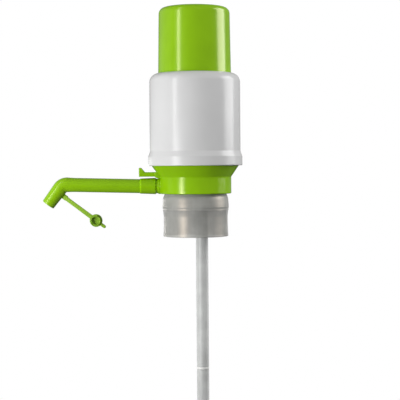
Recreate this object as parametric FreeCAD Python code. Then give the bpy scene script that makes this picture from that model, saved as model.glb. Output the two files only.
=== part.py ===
"""Water jug hand pump: a press-cap bellows pump that fits over the crown of a water jug.

Millimetres, +Z up. The origin is on the jug neck's axis, in the plane of the jug's lip, and the
spout points along -X. Pressing the cap squeezes the bellows, which drives air through the
delivery valve into the jug. The air lifts the water up the dip tube, through the manifold and
out of the spout. The relief lever lets the air out again, which stops the flow.
"""
import FreeCAD, Part
import os
from collections import namedtuple
from math import cos, radians, sin, tan

Vector = FreeCAD.Vector

# ------------------------------------------------------------------ fits and clearances
PUSH_FIT = 0.10          # a spigot in its socket, on the radius
TURN_FIT = 0.05          # a pin in the piece that turns on it, on the radius
SEAL_FIT = 0.02          # a seal in its groove or against its bore
SLIDE_FIT = 0.30         # pieces that slide past each other
SEAT_GAP = 0.05          # a valve face above its seat at rest
PAST = 1.0               # how far a cutter runs past the face that it leaves by
EDGE_EASE = 0.5          # small broken edges
RIM_EASE = 0.8           # rims that the hand meets

# ------------------------------------------------------------------ neck of the jug
CROWN_R = 27.5           # the jug's 55 mm crown
SKIRT_DEPTH = 24.0       # the adaptor's skirt, down past the lip
SKIRT_WALL = 1.5
SKIRT_BULGE = 1.1        # how far the shoulder swells past the skirt
BULGE_ROUND = 8.0
SHOULDER_DRAW = 2.1      # how far the shoulder draws in again under the collar
SHOULDER_DROP = 3.7      # height over which it does so
SHOULDER_LEAN = 0.5      # the shoulder's lean up to there
RIM_FLARE = 0.4          # the skirt's flare at its lower rim
RIM_FLARE_HEIGHT = 11.0
ROOF_WALL = 1.9          # the adaptor's roof, clamped between the nut and the collar
ROOF_FILLET = 1.5        # inside, where the roof meets the skirt
GASKET_WALL = 3.0
NUT_HEIGHT = 9.3
NUT_GAP = 3.0            # round the nut, inside the skirt
NUT_FLANGE_HEIGHT = 2.3
NUT_CONE_HEIGHT = 1.7

# ------------------------------------------------------------------ base collar
NECK_R = 20.0            # the collar's threaded neck, under its floor
NECK_WALL = 2.2
NECK_LENGTH = 9.2
FLOOR_WALL = 2.0
COLLAR_R = 32.2
COLLAR_WALL = 2.2
COLLAR_STRAIGHT = 15.0   # height of the straight part, before the funnel
PLATE_LIFT = 22.3        # from the floor's top up to the ledge that carries the valve plate
FUNNEL_OVER_LEDGE = 0.8  # the funnel's rim stands this far above that ledge
FUNNEL_EASE = 2.0        # where the straight part turns into the funnel
RING_INSET = 1.6         # the ring above the funnel, inside the shell's radius
RING_WALL = 2.0
RING_HEIGHT = 12.5
LEDGE_WIDTH = 1.5
POST_R = 3.4             # three screw posts
POST_COUNT = 3
POST_SINK = 0.2          # how far the posts sink into the collar's wall
HEAD_ROOM = 0.4          # between a screw's head and the bellows
SCREW_R = 1.2
SCREW_HEAD_R = 2.2
SCREW_HEAD = 1.4
SCREW_LENGTH = 11.0
PILOT_END = 1.0          # the pilot hole below the screw's end

# ------------------------------------------------------------------ body shell and press cap
SHELL_R = 40.7
SHELL_WALL = 2.2
SHELL_HEIGHT = 82.8
SHELL_ROUND = 7.2
SHELL_FALL = 1.4         # from the mouth's rim down to the shoulder's corner
BAND_STEP = 1.6          # how much wider the shell's foot is
BAND_HEIGHT = 8.3
BAND_CONE_HEIGHT = 4.6
MOUTH_CLEARANCE = 0.4    # round the cap, on the radius
MOUTH_WALL = 1.6
MOUTH_DEPTH = 17.8       # the sleeve that guides the cap and stops its flange
ROOF_CHAMFER = 3.0
RIB_COUNT = 3
RIB_WIDTH = 3.0
RIB_DEPTH = 1.8
FLANGE_REACH = 5.3       # from the cap's foot out to the shell's bore
CAP_DRAFT = 1.15         # how much narrower the cap is at its top, on the radius
CAP_WALL = 1.8
CAP_HEIGHT = 78.8
CAP_CROWN = 0.4
CAP_ROUND = 5.0
CAP_FLANGE = 2.3
STROKE_ROOM = 1.9        # below the cap's flange when the cap is down
CAP_BOSS_WALL = 2.0      # the ring under the cap's roof that rests on the bellows
CAP_BOSS_HEIGHT = 1.5

# ------------------------------------------------------------------ bellows and valves
BELLOWS_ROOM = 2.9       # round the folds, inside the cap's foot
FOLD_DEPTH = 5.0
BELLOWS_WALL = 1.2
BELLOWS_FOLDS = 6
BELLOWS_FLANGE = 1.6
BELLOWS_NECK_INSET = 3.0 # inside the clamp ring
BELLOWS_NECK = 5.0
BELLOWS_SHOULDER = 1.0   # the neck's slope into the first fold
FOLD_ROOT = 0.35         # a fold's root and crest, as shares of its pitch
FOLD_CREST = 0.85
BELLOWS_TOP_WALL = 2.9
NIPPLE_R = 5.7
NIPPLE_HEIGHT = 1.3
CLAMP_WALL = 3.4
CLAMP_HEIGHT = 9.4
PLATE_WALL = 2.5
DELIVERY_Y = 12.0        # the delivery spigot and the air tube
SPIGOT_R = 4.4
SPIGOT_BORE_R = 3.0
AIR_TUBE_WALL = 1.5
DUCKBILL_FLANGE = 1.2
DUCKBILL_R = 2.8
DUCKBILL_BODY = 3.4
DUCKBILL_LIPS = 4.0
DUCKBILL_WALL = 0.7
LIP_HALF = 0.5           # half the thickness of the two lips together
DUCKBILL_DROP = 9.9      # from the valve plate down to the duckbill's flange
SEAT_BORE_R = 3.3        # the air tube below the duckbill's flange
AIR_PORT_R = 3.0
INTAKE_Y = -13.0
INTAKE_HOLE_R = 1.2
INTAKE_PITCH_R = 3.5
INTAKE_HOLES = 4
DISC_R = 6.0
DISC_WALL = 1.0
DISC_LIFT = 1.3
CAGE_WALL = 1.6
CAGE_ROOF = 1.2
CAGE_OVERLAP = 1.5
CAGE_LEGS = 3
CAGE_LEG_WIDTH = 2.6

# ------------------------------------------------------------------ manifold and water path
MANIFOLD_LAP = 1.7       # how far the disc laps onto the collar's floor
MANIFOLD_WALL = 2.2
MANIFOLD_SKIRT = 3.8
MANIFOLD_SKIRT_WALL = 2.2
GROOVE_FROM_END = 1.0    # the seal groove above the skirt's lower edge
O_RING = 1.6             # height of the seal grooves
GROOVE_DEPTH = 0.7
WATER_BORE_R = 3.2
DUCT_WALL = 1.0
DUCT_ABOVE_FLOOR = 0.1
DUCT_GAP = 2.5           # from the duct's end to the collar's bore
DUCT_SOCKET = 11.5
COUPLING_SPIGOT_R = 3.9
COUPLING_BORE_R = 2.6
COUPLING_REACH = 16.5    # spigot length inside the sleeve's face
SEAL_FROM_END = 3.5
SLEEVE_WALL = 2.15
SLEEVE_TAPER = 0.6
SLEEVE_LENGTH = 14.6
SLEEVE_ROUND = 1.0
SOCKET_ROOM = 0.4        # the socket is this much deeper than the spout's spigot is long
BOSS_FACE = 3.1          # how far the boss stands off the collar
BOSS_R = 7.8
BOSS_NECK = 1.9          # length of the narrower neck that meets the sleeve
BOSS_STEP = 1.5          # how much narrower that neck is
BOSS_EASE = 0.8

# ------------------------------------------------------------------ spout and stopper
SPOUT_SPIGOT_R = 4.5
SPOUT_SPIGOT = 12.2
SPOUT_R = 6.3            # at the sleeve
ELBOW_R = 6.6            # at the bend
TIP_R = 5.9
TIP_WALL = 1.5
LEG_BORE_R = 3.6         # where the level leg's bore starts
SPOUT_REACH = 68.9       # from the sleeve's mouth to the bend's corner, along the leg
SPOUT_RISE = 1.5         # degrees
SPOUT_DROP = 53.0        # degrees below level, for the short leg
DROP_LENGTH = 22.4
INNER_CORNER_R = 0.8     # on the inside of the bend
SPOUT_SEAL_FROM_END = 4.0
STRAP_FROM_CORNER = 8.0  # along the short leg
LUG_R = 2.3
LUG_WALL = 1.6
PEG_R = 0.85
PEG_HEAD = 0.4           # how far the peg's head passes its hole, on the radius
STRAP_WALL = 1.2
STRAP_WIDTH = 4.1
STRAP_LENGTH = 34.0      # from the peg to the plug
PLUG_FLANGE_R = 5.75
PLUG_WALL = 0.8
PLUG_DEPTH = 4.0
TAB_WIDTH = 2.9
TAB_REACH = 10.6         # from the plug's centre

# ------------------------------------------------------------------ relief lever
LEVER_GAP = 1.05         # above the coupling's sleeve
LEVER_WALL = 4.1
LEVER_CHANNEL = 1.0      # depth of the hollow under the lever that clears the sleeve
LEVER_WIDTH = 9.0
LEVER_SIDE_GAP = 0.7
LEVER_OVERHANG = 0.6     # past the sleeve's outer end
FIN_HEIGHT = 3.9
FIN_LENGTH = 5.2
FIN_TOP = 1.9            # the flat on top of the fin
PIN_R = 1.0
PIN_OFF_COLLAR = 1.6     # pin centre outside the collar's cylinder
PIN_LIFT = 1.7           # above the lever's underside
EAR_WALL = 2.0
EAR_R = 2.8
EAR_DROP = 1.5           # the ears' foot below the lever's underside
EAR_FOOT = 2.2           # how far the ears' foot stays behind their outer end
WINDOW_OVER = 2.3        # room above the lever
WINDOW_UNDER = 0.4
RELIEF_X = -11.0
RELIEF_PORT_R = 1.1
PORT_WALL = 0.8
PADDLE_WALL = 2.0
PADDLE_DROP = 0.6        # below the lever's top
PADDLE_LENGTH = 6.0
PADDLE_EDGE = 1.5        # past the ports
PAD_WALL = 1.6
SEAT_EDGE = 1.4          # the relief seat past its ports, along X
PAD_EDGE = 1.2
SPRING_PEG = 2.0         # the peg under the valve plate that holds the spring
SPRING_WIRE = 0.6
SPRING_R = 2.2           # to the middle of the wire
SPRING_TURNS = 4

# ------------------------------------------------------------------ dip tube
DIP_X = 5.5
DIP_R = 5.5
DIP_WALL = 1.3
DIP_DEPTH = 470.0        # the foot's end, below the lip
TUBE_PIECES = 3
TUBE_PIECE = 158.0
SOCKET_WALL = 1.8
SOCKET_DEPTH = 14.0
SOCKET_STOP = 0.3        # the tube's stop, above the underside of the manifold's disc
SOCKET_END_GAP = 0.3
CONNECTOR_FLANGE = 2.0
CONNECTOR_SPIGOT = 12.0
CONNECTOR_WALL = 1.1
FOOT_WALL = 1.0
FOOT_HEIGHT = 18.0
FOOT_OVERLAP = 10.0
SLOT_WIDTH = 1.6
SLOT_DEPTH = 5.0
SLOT_COUNT = 3

# ------------------------------------------------------------------ heights worked out from these
NUT_TOP_Z = GASKET_WALL + NUT_HEIGHT
FLOOR_Z = NUT_TOP_Z + ROOF_WALL
FLOOR_TOP_Z = FLOOR_Z + FLOOR_WALL
FUNNEL_Z = FLOOR_Z + COLLAR_STRAIGHT
PLATE_Z = FLOOR_TOP_Z + PLATE_LIFT
SHELL_Z = PLATE_Z + FUNNEL_OVER_LEDGE
RING_TOP_Z = SHELL_Z + RING_HEIGHT
PLATE_TOP_Z = PLATE_Z + PLATE_WALL
CLAMP_Z = PLATE_TOP_Z + BELLOWS_FLANGE
SHELL_TOP_Z = SHELL_Z + SHELL_HEIGHT
MOUTH_Z = SHELL_TOP_Z - MOUTH_DEPTH
CAP_Z = MOUTH_Z - SLIDE_FIT - CAP_FLANGE
CAP_TOP_Z = CAP_Z + CAP_HEIGHT
CAP_STROKE = CAP_Z - RING_TOP_Z - STROKE_ROOM
BELLOWS_TOP_Z = CAP_TOP_Z - CAP_WALL - CAP_BOSS_HEIGHT - SEAT_GAP
MANIFOLD_Z = FLOOR_TOP_Z
MANIFOLD_TOP_Z = MANIFOLD_Z + MANIFOLD_WALL
DUCKBILL_Z = PLATE_Z - DUCKBILL_DROP - DUCKBILL_FLANGE
SOCKET_STOP_Z = MANIFOLD_Z + SOCKET_STOP
TUBE_TOP_Z = SOCKET_STOP_Z - SOCKET_END_GAP
TUBE_END_Z = FOOT_HEIGHT - FOOT_OVERLAP - DIP_DEPTH

# ------------------------------------------------------------------ radii worked out from these
RING_R = SHELL_R - RING_INSET
BAND_R = SHELL_R + BAND_STEP
CAP_R = SHELL_R - SHELL_WALL - FLANGE_REACH
PLATE_R = RING_R - RING_WALL - PUSH_FIT
NECK_BORE_R = NECK_R - NECK_WALL
MANIFOLD_R = NECK_BORE_R + MANIFOLD_LAP
BELLOWS_CREST_R = CAP_R - CAP_WALL - BELLOWS_ROOM
BELLOWS_ROOT_R = BELLOWS_CREST_R - FOLD_DEPTH
BELLOWS_NECK_R = PLATE_R - CLAMP_WALL - BELLOWS_NECK_INSET
POST_CIRCLE_R = min(COLLAR_R - COLLAR_WALL - POST_R + POST_SINK,
                    BELLOWS_NECK_R - BELLOWS_WALL - SCREW_HEAD_R - HEAD_ROOM)
TIP_BORE_R = TIP_R - TIP_WALL

# ------------------------------------------------------------------ water path, along X
DUCT_SOCKET_R = COUPLING_SPIGOT_R + PUSH_FIT
DUCT_R = DUCT_SOCKET_R + DUCT_WALL
DUCT_Z = FLOOR_TOP_Z + DUCT_R + DUCT_ABOVE_FLOOR
DUCT_END_X = -(COLLAR_R - COLLAR_WALL - DUCT_GAP)
SLEEVE_X = -(COLLAR_R + BOSS_FACE) - PUSH_FIT
SLEEVE_END_X = SLEEVE_X - SLEEVE_LENGTH
SLEEVE_BORE_R = SPOUT_SPIGOT_R + PUSH_FIT
SLEEVE_R = SLEEVE_BORE_R + SLEEVE_WALL
SLEEVE_SOCKET = SPOUT_SPIGOT + SOCKET_ROOM
COUPLING_END_X = SLEEVE_X + COUPLING_REACH
SPOUT_X = SLEEVE_END_X - SLIDE_FIT
AIR_TUBE_BORE_R = SPIGOT_R + PUSH_FIT
AIR_TUBE_R = AIR_TUBE_BORE_R + AIR_TUBE_WALL

# ------------------------------------------------------------------ relief valve
LEVER_Z = DUCT_Z + SLEEVE_R + SLEEVE_TAPER + LEVER_GAP
LEVER_TOP_Z = LEVER_Z + LEVER_WALL
PIN_X = -(COLLAR_R + PIN_OFF_COLLAR)
PIN_Z = LEVER_Z + PIN_LIFT
PADDLE_TOP_Z = LEVER_TOP_Z - PADDLE_DROP
PADDLE_Z = PADDLE_TOP_Z - PADDLE_WALL
RELIEF_SEAT_Z = PADDLE_Z - PAD_WALL - SEAT_GAP
RELIEF_PORT_Y = DUCT_R + PORT_WALL + RELIEF_PORT_R
EAR_IN_Y = LEVER_WIDTH / 2 + LEVER_SIDE_GAP
EAR_OUT_Y = EAR_IN_Y + EAR_WALL


# ------------------------------------------------------------------ shape helpers
# A rounded corner of an outline, which may take up to a share of the shorter run beside it, and
# a corner cut off by a straight run.
Round = namedtuple("Round", "a b radius share", defaults=[0.49])
Chamfer = namedtuple("Chamfer", "a b setback share", defaults=[0.49])


def eased_corner(before, corner, after, ease):
    """Points that replace a corner: start and end of its chamfer, or start, middle and end of
    its arc, kept within the two runs that meet there."""
    back = (before - corner).normalize()
    ahead = (after - corner).normalize()
    half = back.getAngle(ahead) / 2
    room = ease.share * min((before - corner).Length, (after - corner).Length)
    if isinstance(ease, Chamfer):
        setback = min(ease.setback, room)
        return corner + back * setback, corner + ahead * setback
    setback = min(ease.radius / tan(half), room)
    bisector = (back + ahead).normalize()
    middle = corner + bisector * setback * (1 / cos(half) - tan(half))
    return corner + back * setback, middle, corner + ahead * setback


def outline(points, place):
    """Closed face through corners, (a, b), Chamfer or Round, put in space by place(a, b)."""
    corners = [place(point[0], point[1]) for point in points]
    count = len(corners)
    joints = []
    for index, point in enumerate(points):
        if isinstance(point, (Chamfer, Round)):
            after = corners[(index + 1) % count]
            joints.append(eased_corner(corners[index - 1], corners[index], after, point))
        else:
            joints.append((corners[index],))
    edges = []
    for index, joint in enumerate(joints):
        if len(joint) == 3:
            edges.append(Part.Arc(*joint).toShape())
        elif len(joint) == 2:
            edges.append(Part.LineSegment(*joint).toShape())
        start = joints[(index + 1) % count][0]
        if (start - joint[-1]).Length > 1e-6:
            edges.append(Part.LineSegment(joint[-1], start).toShape())
    return Part.Face(Part.Wire(edges))


def turned(points, x=0.0, y=0.0):
    """Solid turned about a vertical axis from (radius, height) points."""
    face = outline(points, lambda radius, height: Vector(x + radius, y, height))
    return face.revolve(Vector(x, y, 0), Vector(0, 0, 1), 360)


def turned_on_duct(points):
    """Solid turned about the duct's axis, which runs along X, from (x, radius) points."""
    face = outline(points, lambda x, radius: Vector(x, 0, DUCT_Z + radius))
    return face.revolve(Vector(0, 0, DUCT_Z), Vector(1, 0, 0), 360)


def prism(points, half_width):
    """Solid of an outline in the XZ plane, as wide on both sides of it."""
    face = outline(points, lambda x, z: Vector(x, -half_width, z))
    return face.extrude(Vector(0, 2 * half_width, 0))


def rod(radius, low, high, x=0.0, y=0.0):
    """Upright cylinder."""
    return Part.makeCylinder(radius, high - low, Vector(x, y, low))


def tube(outer, inner, low, high, x=0.0, y=0.0):
    """Upright tube."""
    return turned([(inner, low), (outer, low), (outer, high), (inner, high)], x, y)


def rod_x(radius, x_from, x_to):
    """Cylinder on the duct's axis."""
    return Part.makeCylinder(radius, x_to - x_from, Vector(x_from, 0, DUCT_Z), Vector(1, 0, 0))


def rod_y(radius, y_from, y_to, x, z):
    """Cylinder along Y."""
    return Part.makeCylinder(radius, y_to - y_from, Vector(x, y_from, z), Vector(0, 1, 0))


def taper(start_r, end_r, length, start, direction):
    """Cone frustum, or a cylinder where both ends are alike."""
    if abs(start_r - end_r) < 1e-6:
        return Part.makeCylinder(start_r, length, start, direction)
    return Part.makeCone(start_r, end_r, length, start, direction)


def block(x_from, x_to, half_width, low, high):
    """Box as wide on both sides of the XZ plane."""
    corner = Vector(x_from, -half_width, low)
    return Part.makeBox(x_to - x_from, 2 * half_width, high - low, corner)


def around(shape, count, x=0.0, y=0.0):
    """Copies of a shape, evenly spaced about a vertical axis."""
    copies = []
    for index in range(count):
        copy = shape.copy()
        copy.rotate(Vector(x, y, 0), Vector(0, 0, 1), 360.0 * index / count)
        copies.append(copy)
    return copies


def joined(first, *others):
    """One solid of several that overlap, with its seams removed."""
    return first.fuse(list(others)).removeSplitter()


# ------------------------------------------------------------------ neck of the jug
def neck_adaptor():
    """Thin skirt that grips the jug's crown, with a swelled shoulder and a flat roof."""
    skirt_r = CROWN_R + SKIRT_WALL
    bulge_r = skirt_r + SKIRT_BULGE
    return turned([
        (CROWN_R, -SKIRT_DEPTH),
        Chamfer(skirt_r + RIM_FLARE, -SKIRT_DEPTH, EDGE_EASE),
        Round(skirt_r, RIM_FLARE_HEIGHT - SKIRT_DEPTH, BULGE_ROUND),
        Round(skirt_r, -2 * GASKET_WALL, BULGE_ROUND),
        Round(bulge_r, GASKET_WALL, BULGE_ROUND),
        Round(bulge_r - SHOULDER_LEAN, FLOOR_Z - SHOULDER_DROP, BULGE_ROUND),
        Chamfer(bulge_r - SHOULDER_DRAW, FLOOR_Z, EDGE_EASE),
        (NECK_R + SLIDE_FIT, FLOOR_Z),
        (NECK_R + SLIDE_FIT, NUT_TOP_Z),
        Chamfer(CROWN_R, NUT_TOP_Z, ROOF_FILLET),
    ])


def neck_gasket():
    """Flat washer that seals on the jug's lip, pushed up into the adaptor under the nut."""
    return tube(CROWN_R - 2 * PUSH_FIT, NECK_R + SLIDE_FIT, 0, GASKET_WALL)


def adaptor_nut():
    """Ring nut on the collar's neck, which clamps the adaptor's roof to the collar."""
    bore_r = NECK_R + PUSH_FIT
    outer_r = CROWN_R - NUT_GAP
    cone_z = GASKET_WALL + NUT_FLANGE_HEIGHT
    flange_r = CROWN_R - 2 * SLIDE_FIT
    return turned([
        (bore_r, GASKET_WALL),
        (flange_r, GASKET_WALL),
        (flange_r, cone_z),
        (outer_r, cone_z + NUT_CONE_HEIGHT),
        (outer_r, NUT_TOP_Z),
        (bore_r, NUT_TOP_Z),
    ])


# ------------------------------------------------------------------ base collar
def collar_body():
    """The collar's turned form: neck, floor, cylinder, funnel and ring."""
    ledge_r = RING_R - RING_WALL - LEDGE_WIDTH
    neck_end = FLOOR_Z - NECK_LENGTH
    bore_r = COLLAR_R - COLLAR_WALL
    return turned([
        (NECK_BORE_R, neck_end),
        Chamfer(NECK_R, neck_end, EDGE_EASE),
        (NECK_R, FLOOR_Z),
        Chamfer(COLLAR_R, FLOOR_Z, RIM_EASE),
        Chamfer(COLLAR_R, FUNNEL_Z, FUNNEL_EASE),
        (RING_R, SHELL_Z),
        Chamfer(RING_R, RING_TOP_Z, EDGE_EASE),
        (RING_R - RING_WALL, RING_TOP_Z),
        (RING_R - RING_WALL, PLATE_Z),
        (ledge_r, PLATE_Z),
        (bore_r, FUNNEL_Z),
        (bore_r, FLOOR_TOP_Z),
        (NECK_BORE_R, FLOOR_TOP_Z),
    ])


def outlet_boss():
    """Boss round the hole that the coupling goes in, with a narrower neck at its face, cut
    level with the floor."""
    root_x = -(COLLAR_R - COLLAR_WALL * 0.7)
    face_x = -(COLLAR_R + BOSS_FACE)
    boss = turned_on_duct([
        (root_x, DUCT_SOCKET_R),
        (face_x, DUCT_SOCKET_R),
        (face_x, BOSS_R - BOSS_STEP),
        (face_x + BOSS_NECK, BOSS_R - BOSS_STEP),
        Chamfer(face_x + BOSS_NECK, BOSS_R, BOSS_EASE),
        (root_x, BOSS_R),
    ])
    reach = 2 * BOSS_R + BOSS_FACE
    room = block(face_x - reach, root_x + reach, reach, FLOOR_Z, FLOOR_Z + 4 * reach)
    return boss.common(room)


def lever_ears():
    """Two ears outside the collar that hold the lever's pin, one each side of the window."""
    root_x = -(COLLAR_R - COLLAR_WALL * 0.7)
    ear = prism([
        (root_x, LEVER_Z - EAR_DROP),
        (PIN_X - EAR_R + EAR_FOOT, LEVER_Z - EAR_DROP),
        (PIN_X - EAR_R, LEVER_Z),
        Chamfer(PIN_X - EAR_R, PIN_Z + EAR_R, EAR_R * 0.8),
        (root_x, PIN_Z + EAR_R),
    ], EAR_WALL / 2)
    ears = []
    for side in (-1, 1):
        copy = ear.copy()
        copy.translate(Vector(0, side * (EAR_IN_Y + EAR_WALL / 2), 0))
        ears.append(copy)
    return ears


def screw_places():
    """Centres of the screw posts, none of them on the spout's side."""
    places = []
    for index in range(POST_COUNT):
        angle = radians(180.0 + 360.0 * (index + 0.5) / POST_COUNT)
        places.append((POST_CIRCLE_R * cos(angle), POST_CIRCLE_R * sin(angle)))
    return places


def base_collar():
    """Collar that carries the shell, the valves, the manifold and the spout."""
    window_low = LEVER_Z - WINDOW_UNDER
    window_high = LEVER_TOP_Z + WINDOW_OVER
    window = block(-(RING_R + PAST), -(COLLAR_R - 2 * COLLAR_WALL), EAR_IN_Y, window_low, window_high)
    posts = [rod(POST_R, FLOOR_Z + FLOOR_WALL / 2, PLATE_Z, x, y) for x, y in screw_places()]
    pilots = [rod(SCREW_R + PUSH_FIT, PLATE_TOP_Z - SCREW_LENGTH - PILOT_END, PLATE_Z + PAST,
                  x, y)
              for x, y in screw_places()]
    collar = collar_body().cut(window)
    collar = joined(collar, outlet_boss(), *lever_ears(), *posts)
    outlet = rod_x(DUCT_SOCKET_R, SLEEVE_X - PAST, -(COLLAR_R - 2 * COLLAR_WALL))
    pin_hole = rod_y(PIN_R + SEAL_FIT, -EAR_OUT_Y - PAST, EAR_OUT_Y + PAST, PIN_X, PIN_Z)
    return collar.cut([outlet, pin_hole] + pilots)


# ------------------------------------------------------------------ manifold
def relief_ports():
    """Two air passages beside the duct, from the jug up to the relief seat."""
    low = MANIFOLD_Z - MANIFOLD_SKIRT
    high = RELIEF_SEAT_Z + PAST
    return [rod(RELIEF_PORT_R, low, high, RELIEF_X, side * RELIEF_PORT_Y) for side in (-1, 1)]


def water_manifold():
    """Disc on the collar's floor with the dip tube's socket, the water elbow and duct, the air
    tube and the raised seat of the relief valve."""
    skirt_r = NECK_BORE_R - 2 * PUSH_FIT
    skirt_low = MANIFOLD_Z - MANIFOLD_SKIRT
    groove_low = skirt_low + GROOVE_FROM_END
    groove_r = skirt_r - GROOVE_DEPTH
    disc = turned([
        (0, MANIFOLD_Z),
        (skirt_r - MANIFOLD_SKIRT_WALL, MANIFOLD_Z),
        (skirt_r - MANIFOLD_SKIRT_WALL, skirt_low),
        (skirt_r, skirt_low),
        (skirt_r, groove_low),
        (groove_r, groove_low),
        (groove_r, groove_low + O_RING),
        (skirt_r, groove_low + O_RING),
        (skirt_r, MANIFOLD_Z),
        (MANIFOLD_R, MANIFOLD_Z),
        (MANIFOLD_R, MANIFOLD_TOP_Z),
        (0, MANIFOLD_TOP_Z),
    ])
    socket_bore_r = DIP_R + TURN_FIT
    socket_low = SOCKET_STOP_Z - SOCKET_DEPTH
    socket = rod(socket_bore_r + SOCKET_WALL, socket_low, MANIFOLD_TOP_Z, DIP_X)
    elbow = rod(DUCT_R, MANIFOLD_Z, DUCT_Z, DIP_X)
    knuckle = Part.makeSphere(DUCT_R, Vector(DIP_X, 0, DUCT_Z))
    duct = rod_x(DUCT_R, DUCT_END_X, DIP_X)
    seat_half = RELIEF_PORT_Y + RELIEF_PORT_R + PORT_WALL
    seat_reach = RELIEF_PORT_R + SEAT_EDGE
    seat = block(RELIEF_X - seat_reach, RELIEF_X + seat_reach, seat_half, MANIFOLD_Z, RELIEF_SEAT_Z)
    air_tube = rod(AIR_TUBE_R, MANIFOLD_Z, PLATE_Z, 0, DELIVERY_Y)
    body = joined(disc, socket, elbow, knuckle, duct, seat, air_tube)
    socket_bore = rod(socket_bore_r, socket_low - PAST, SOCKET_STOP_Z, DIP_X)
    rise = rod(WATER_BORE_R, SOCKET_STOP_Z - PAST, DUCT_Z, DIP_X)
    turn = Part.makeSphere(WATER_BORE_R, Vector(DIP_X, 0, DUCT_Z))
    run = rod_x(WATER_BORE_R, DUCT_END_X - PAST, DIP_X)
    coupling_bore = rod_x(DUCT_SOCKET_R, DUCT_END_X - PAST, DUCT_END_X + DUCT_SOCKET)
    spigot_bore = rod(AIR_TUBE_BORE_R, DUCKBILL_Z, PLATE_Z + PAST, 0, DELIVERY_Y)
    seat_bore = rod(SEAT_BORE_R, MANIFOLD_TOP_Z, DUCKBILL_Z + PAST, 0, DELIVERY_Y)
    air_port = rod(AIR_PORT_R, skirt_low, MANIFOLD_TOP_Z + PAST, 0, DELIVERY_Y)
    bores = [socket_bore, rise, turn, run, coupling_bore, spigot_bore, seat_bore, air_port]
    return body.cut(bores + relief_ports())


def manifold_o_ring():
    """Seal between the manifold's skirt and the collar's neck."""
    skirt_r = NECK_BORE_R - 2 * PUSH_FIT
    low = MANIFOLD_Z - MANIFOLD_SKIRT + GROOVE_FROM_END + SEAL_FIT
    outer = NECK_BORE_R - SEAL_FIT
    inner = skirt_r - GROOVE_DEPTH + SEAL_FIT
    high = low + O_RING - 2 * SEAL_FIT
    return tube(outer, inner, low, high)


def axial_seal(inner, outer, middle):
    """Seal on the duct's axis, between two radii."""
    low = middle - O_RING / 2 + SEAL_FIT
    high = middle + O_RING / 2 - SEAL_FIT
    inner += SEAL_FIT
    outer -= SEAL_FIT
    return turned_on_duct([(low, inner), (low, outer), (high, outer), (high, inner)])


# ------------------------------------------------------------------ valves
def valve_plate():
    """Plate on the collar's ledge with the intake holes, the delivery spigot and the spring peg."""
    plate = rod(PLATE_R, PLATE_Z, PLATE_TOP_Z)
    spigot_low = PLATE_Z - DUCKBILL_DROP
    spigot = rod(SPIGOT_R, spigot_low, PLATE_TOP_Z, 0, DELIVERY_Y)
    peg = rod(SPRING_R - SPRING_WIRE, PLATE_Z - SPRING_PEG, PLATE_TOP_Z, RELIEF_X)
    plate = joined(plate, spigot, peg)
    low = PLATE_Z - PAST
    high = PLATE_TOP_Z + PAST
    holes = [rod(SPIGOT_BORE_R, spigot_low - PAST, high, 0, DELIVERY_Y)]
    intake = rod(INTAKE_HOLE_R, low, high, INTAKE_PITCH_R, INTAKE_Y)
    holes += around(intake, INTAKE_HOLES, 0, INTAKE_Y)
    screw_hole_r = SCREW_R + SLIDE_FIT
    holes += [rod(screw_hole_r, low, high, x, y) for x, y in screw_places()]
    middle = PLATE_Z - DUCKBILL_DROP / 2
    groove = tube(SPIGOT_R + PAST, SPIGOT_R - GROOVE_DEPTH,
                  middle - O_RING / 2, middle + O_RING / 2, 0, DELIVERY_Y)
    return plate.cut(holes + [groove])


def air_duct_seal():
    """Seal between the delivery spigot and the air tube."""
    middle = PLATE_Z - DUCKBILL_DROP / 2
    half = O_RING / 2 - SEAL_FIT
    inner = SPIGOT_R - GROOVE_DEPTH + SEAL_FIT
    outer = AIR_TUBE_BORE_R - SEAL_FIT
    return tube(outer, inner, middle - half, middle + half, 0, DELIVERY_Y)


def plate_screws():
    """Three screws that hold the valve plate and the manifold down."""
    screws = []
    for x, y in screw_places():
        low = PLATE_TOP_Z - SCREW_LENGTH
        top = PLATE_TOP_Z + SCREW_HEAD
        screws.append(turned([
            (0, low),
            (SCREW_R, low),
            (SCREW_R, PLATE_TOP_Z),
            (SCREW_HEAD_R, PLATE_TOP_Z),
            (SCREW_HEAD_R, top),
            (0, top),
        ], x, y))
    return Part.makeCompound(screws)


def delivery_duckbill():
    """Rubber one-way valve that lets air down into the jug: a flange, a tube and two flat lips."""
    flange_top = DUCKBILL_Z + DUCKBILL_FLANGE
    body_low = DUCKBILL_Z - DUCKBILL_BODY
    body = turned([
        (0, body_low - DUCKBILL_LIPS),
        (DUCKBILL_R, body_low - DUCKBILL_LIPS),
        (DUCKBILL_R, DUCKBILL_Z),
        (SPIGOT_R - SEAL_FIT, DUCKBILL_Z),
        (SPIGOT_R - SEAL_FIT, flange_top),
        (0, flange_top),
    ], 0, DELIVERY_Y)
    lip_low = body_low - DUCKBILL_LIPS
    low = lip_low - PAST
    far = DUCKBILL_R + PAST
    cheeks = []
    for side in (-1, 1):
        cheek = prism([
            (side * LIP_HALF, low),
            (side * far, low),
            (side * far, body_low),
            (side * DUCKBILL_R, body_low),
            (side * LIP_HALF, lip_low),
        ], far)
        cheek.translate(Vector(0, DELIVERY_Y, 0))
        cheeks.append(cheek)
    passage = turned([
        (0, body_low),
        (DUCKBILL_R - DUCKBILL_WALL, body_low),
        (DUCKBILL_R - DUCKBILL_WALL, flange_top + PAST),
        (0, flange_top + PAST),
    ], 0, DELIVERY_Y)
    return body.cut(cheeks + [passage])


def intake_disc():
    """Loose disc that lets air into the bellows and shuts when the cap is pressed."""
    low = PLATE_TOP_Z + SEAT_GAP
    return rod(DISC_R, low, low + DISC_WALL, 0, INTAKE_Y)


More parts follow.
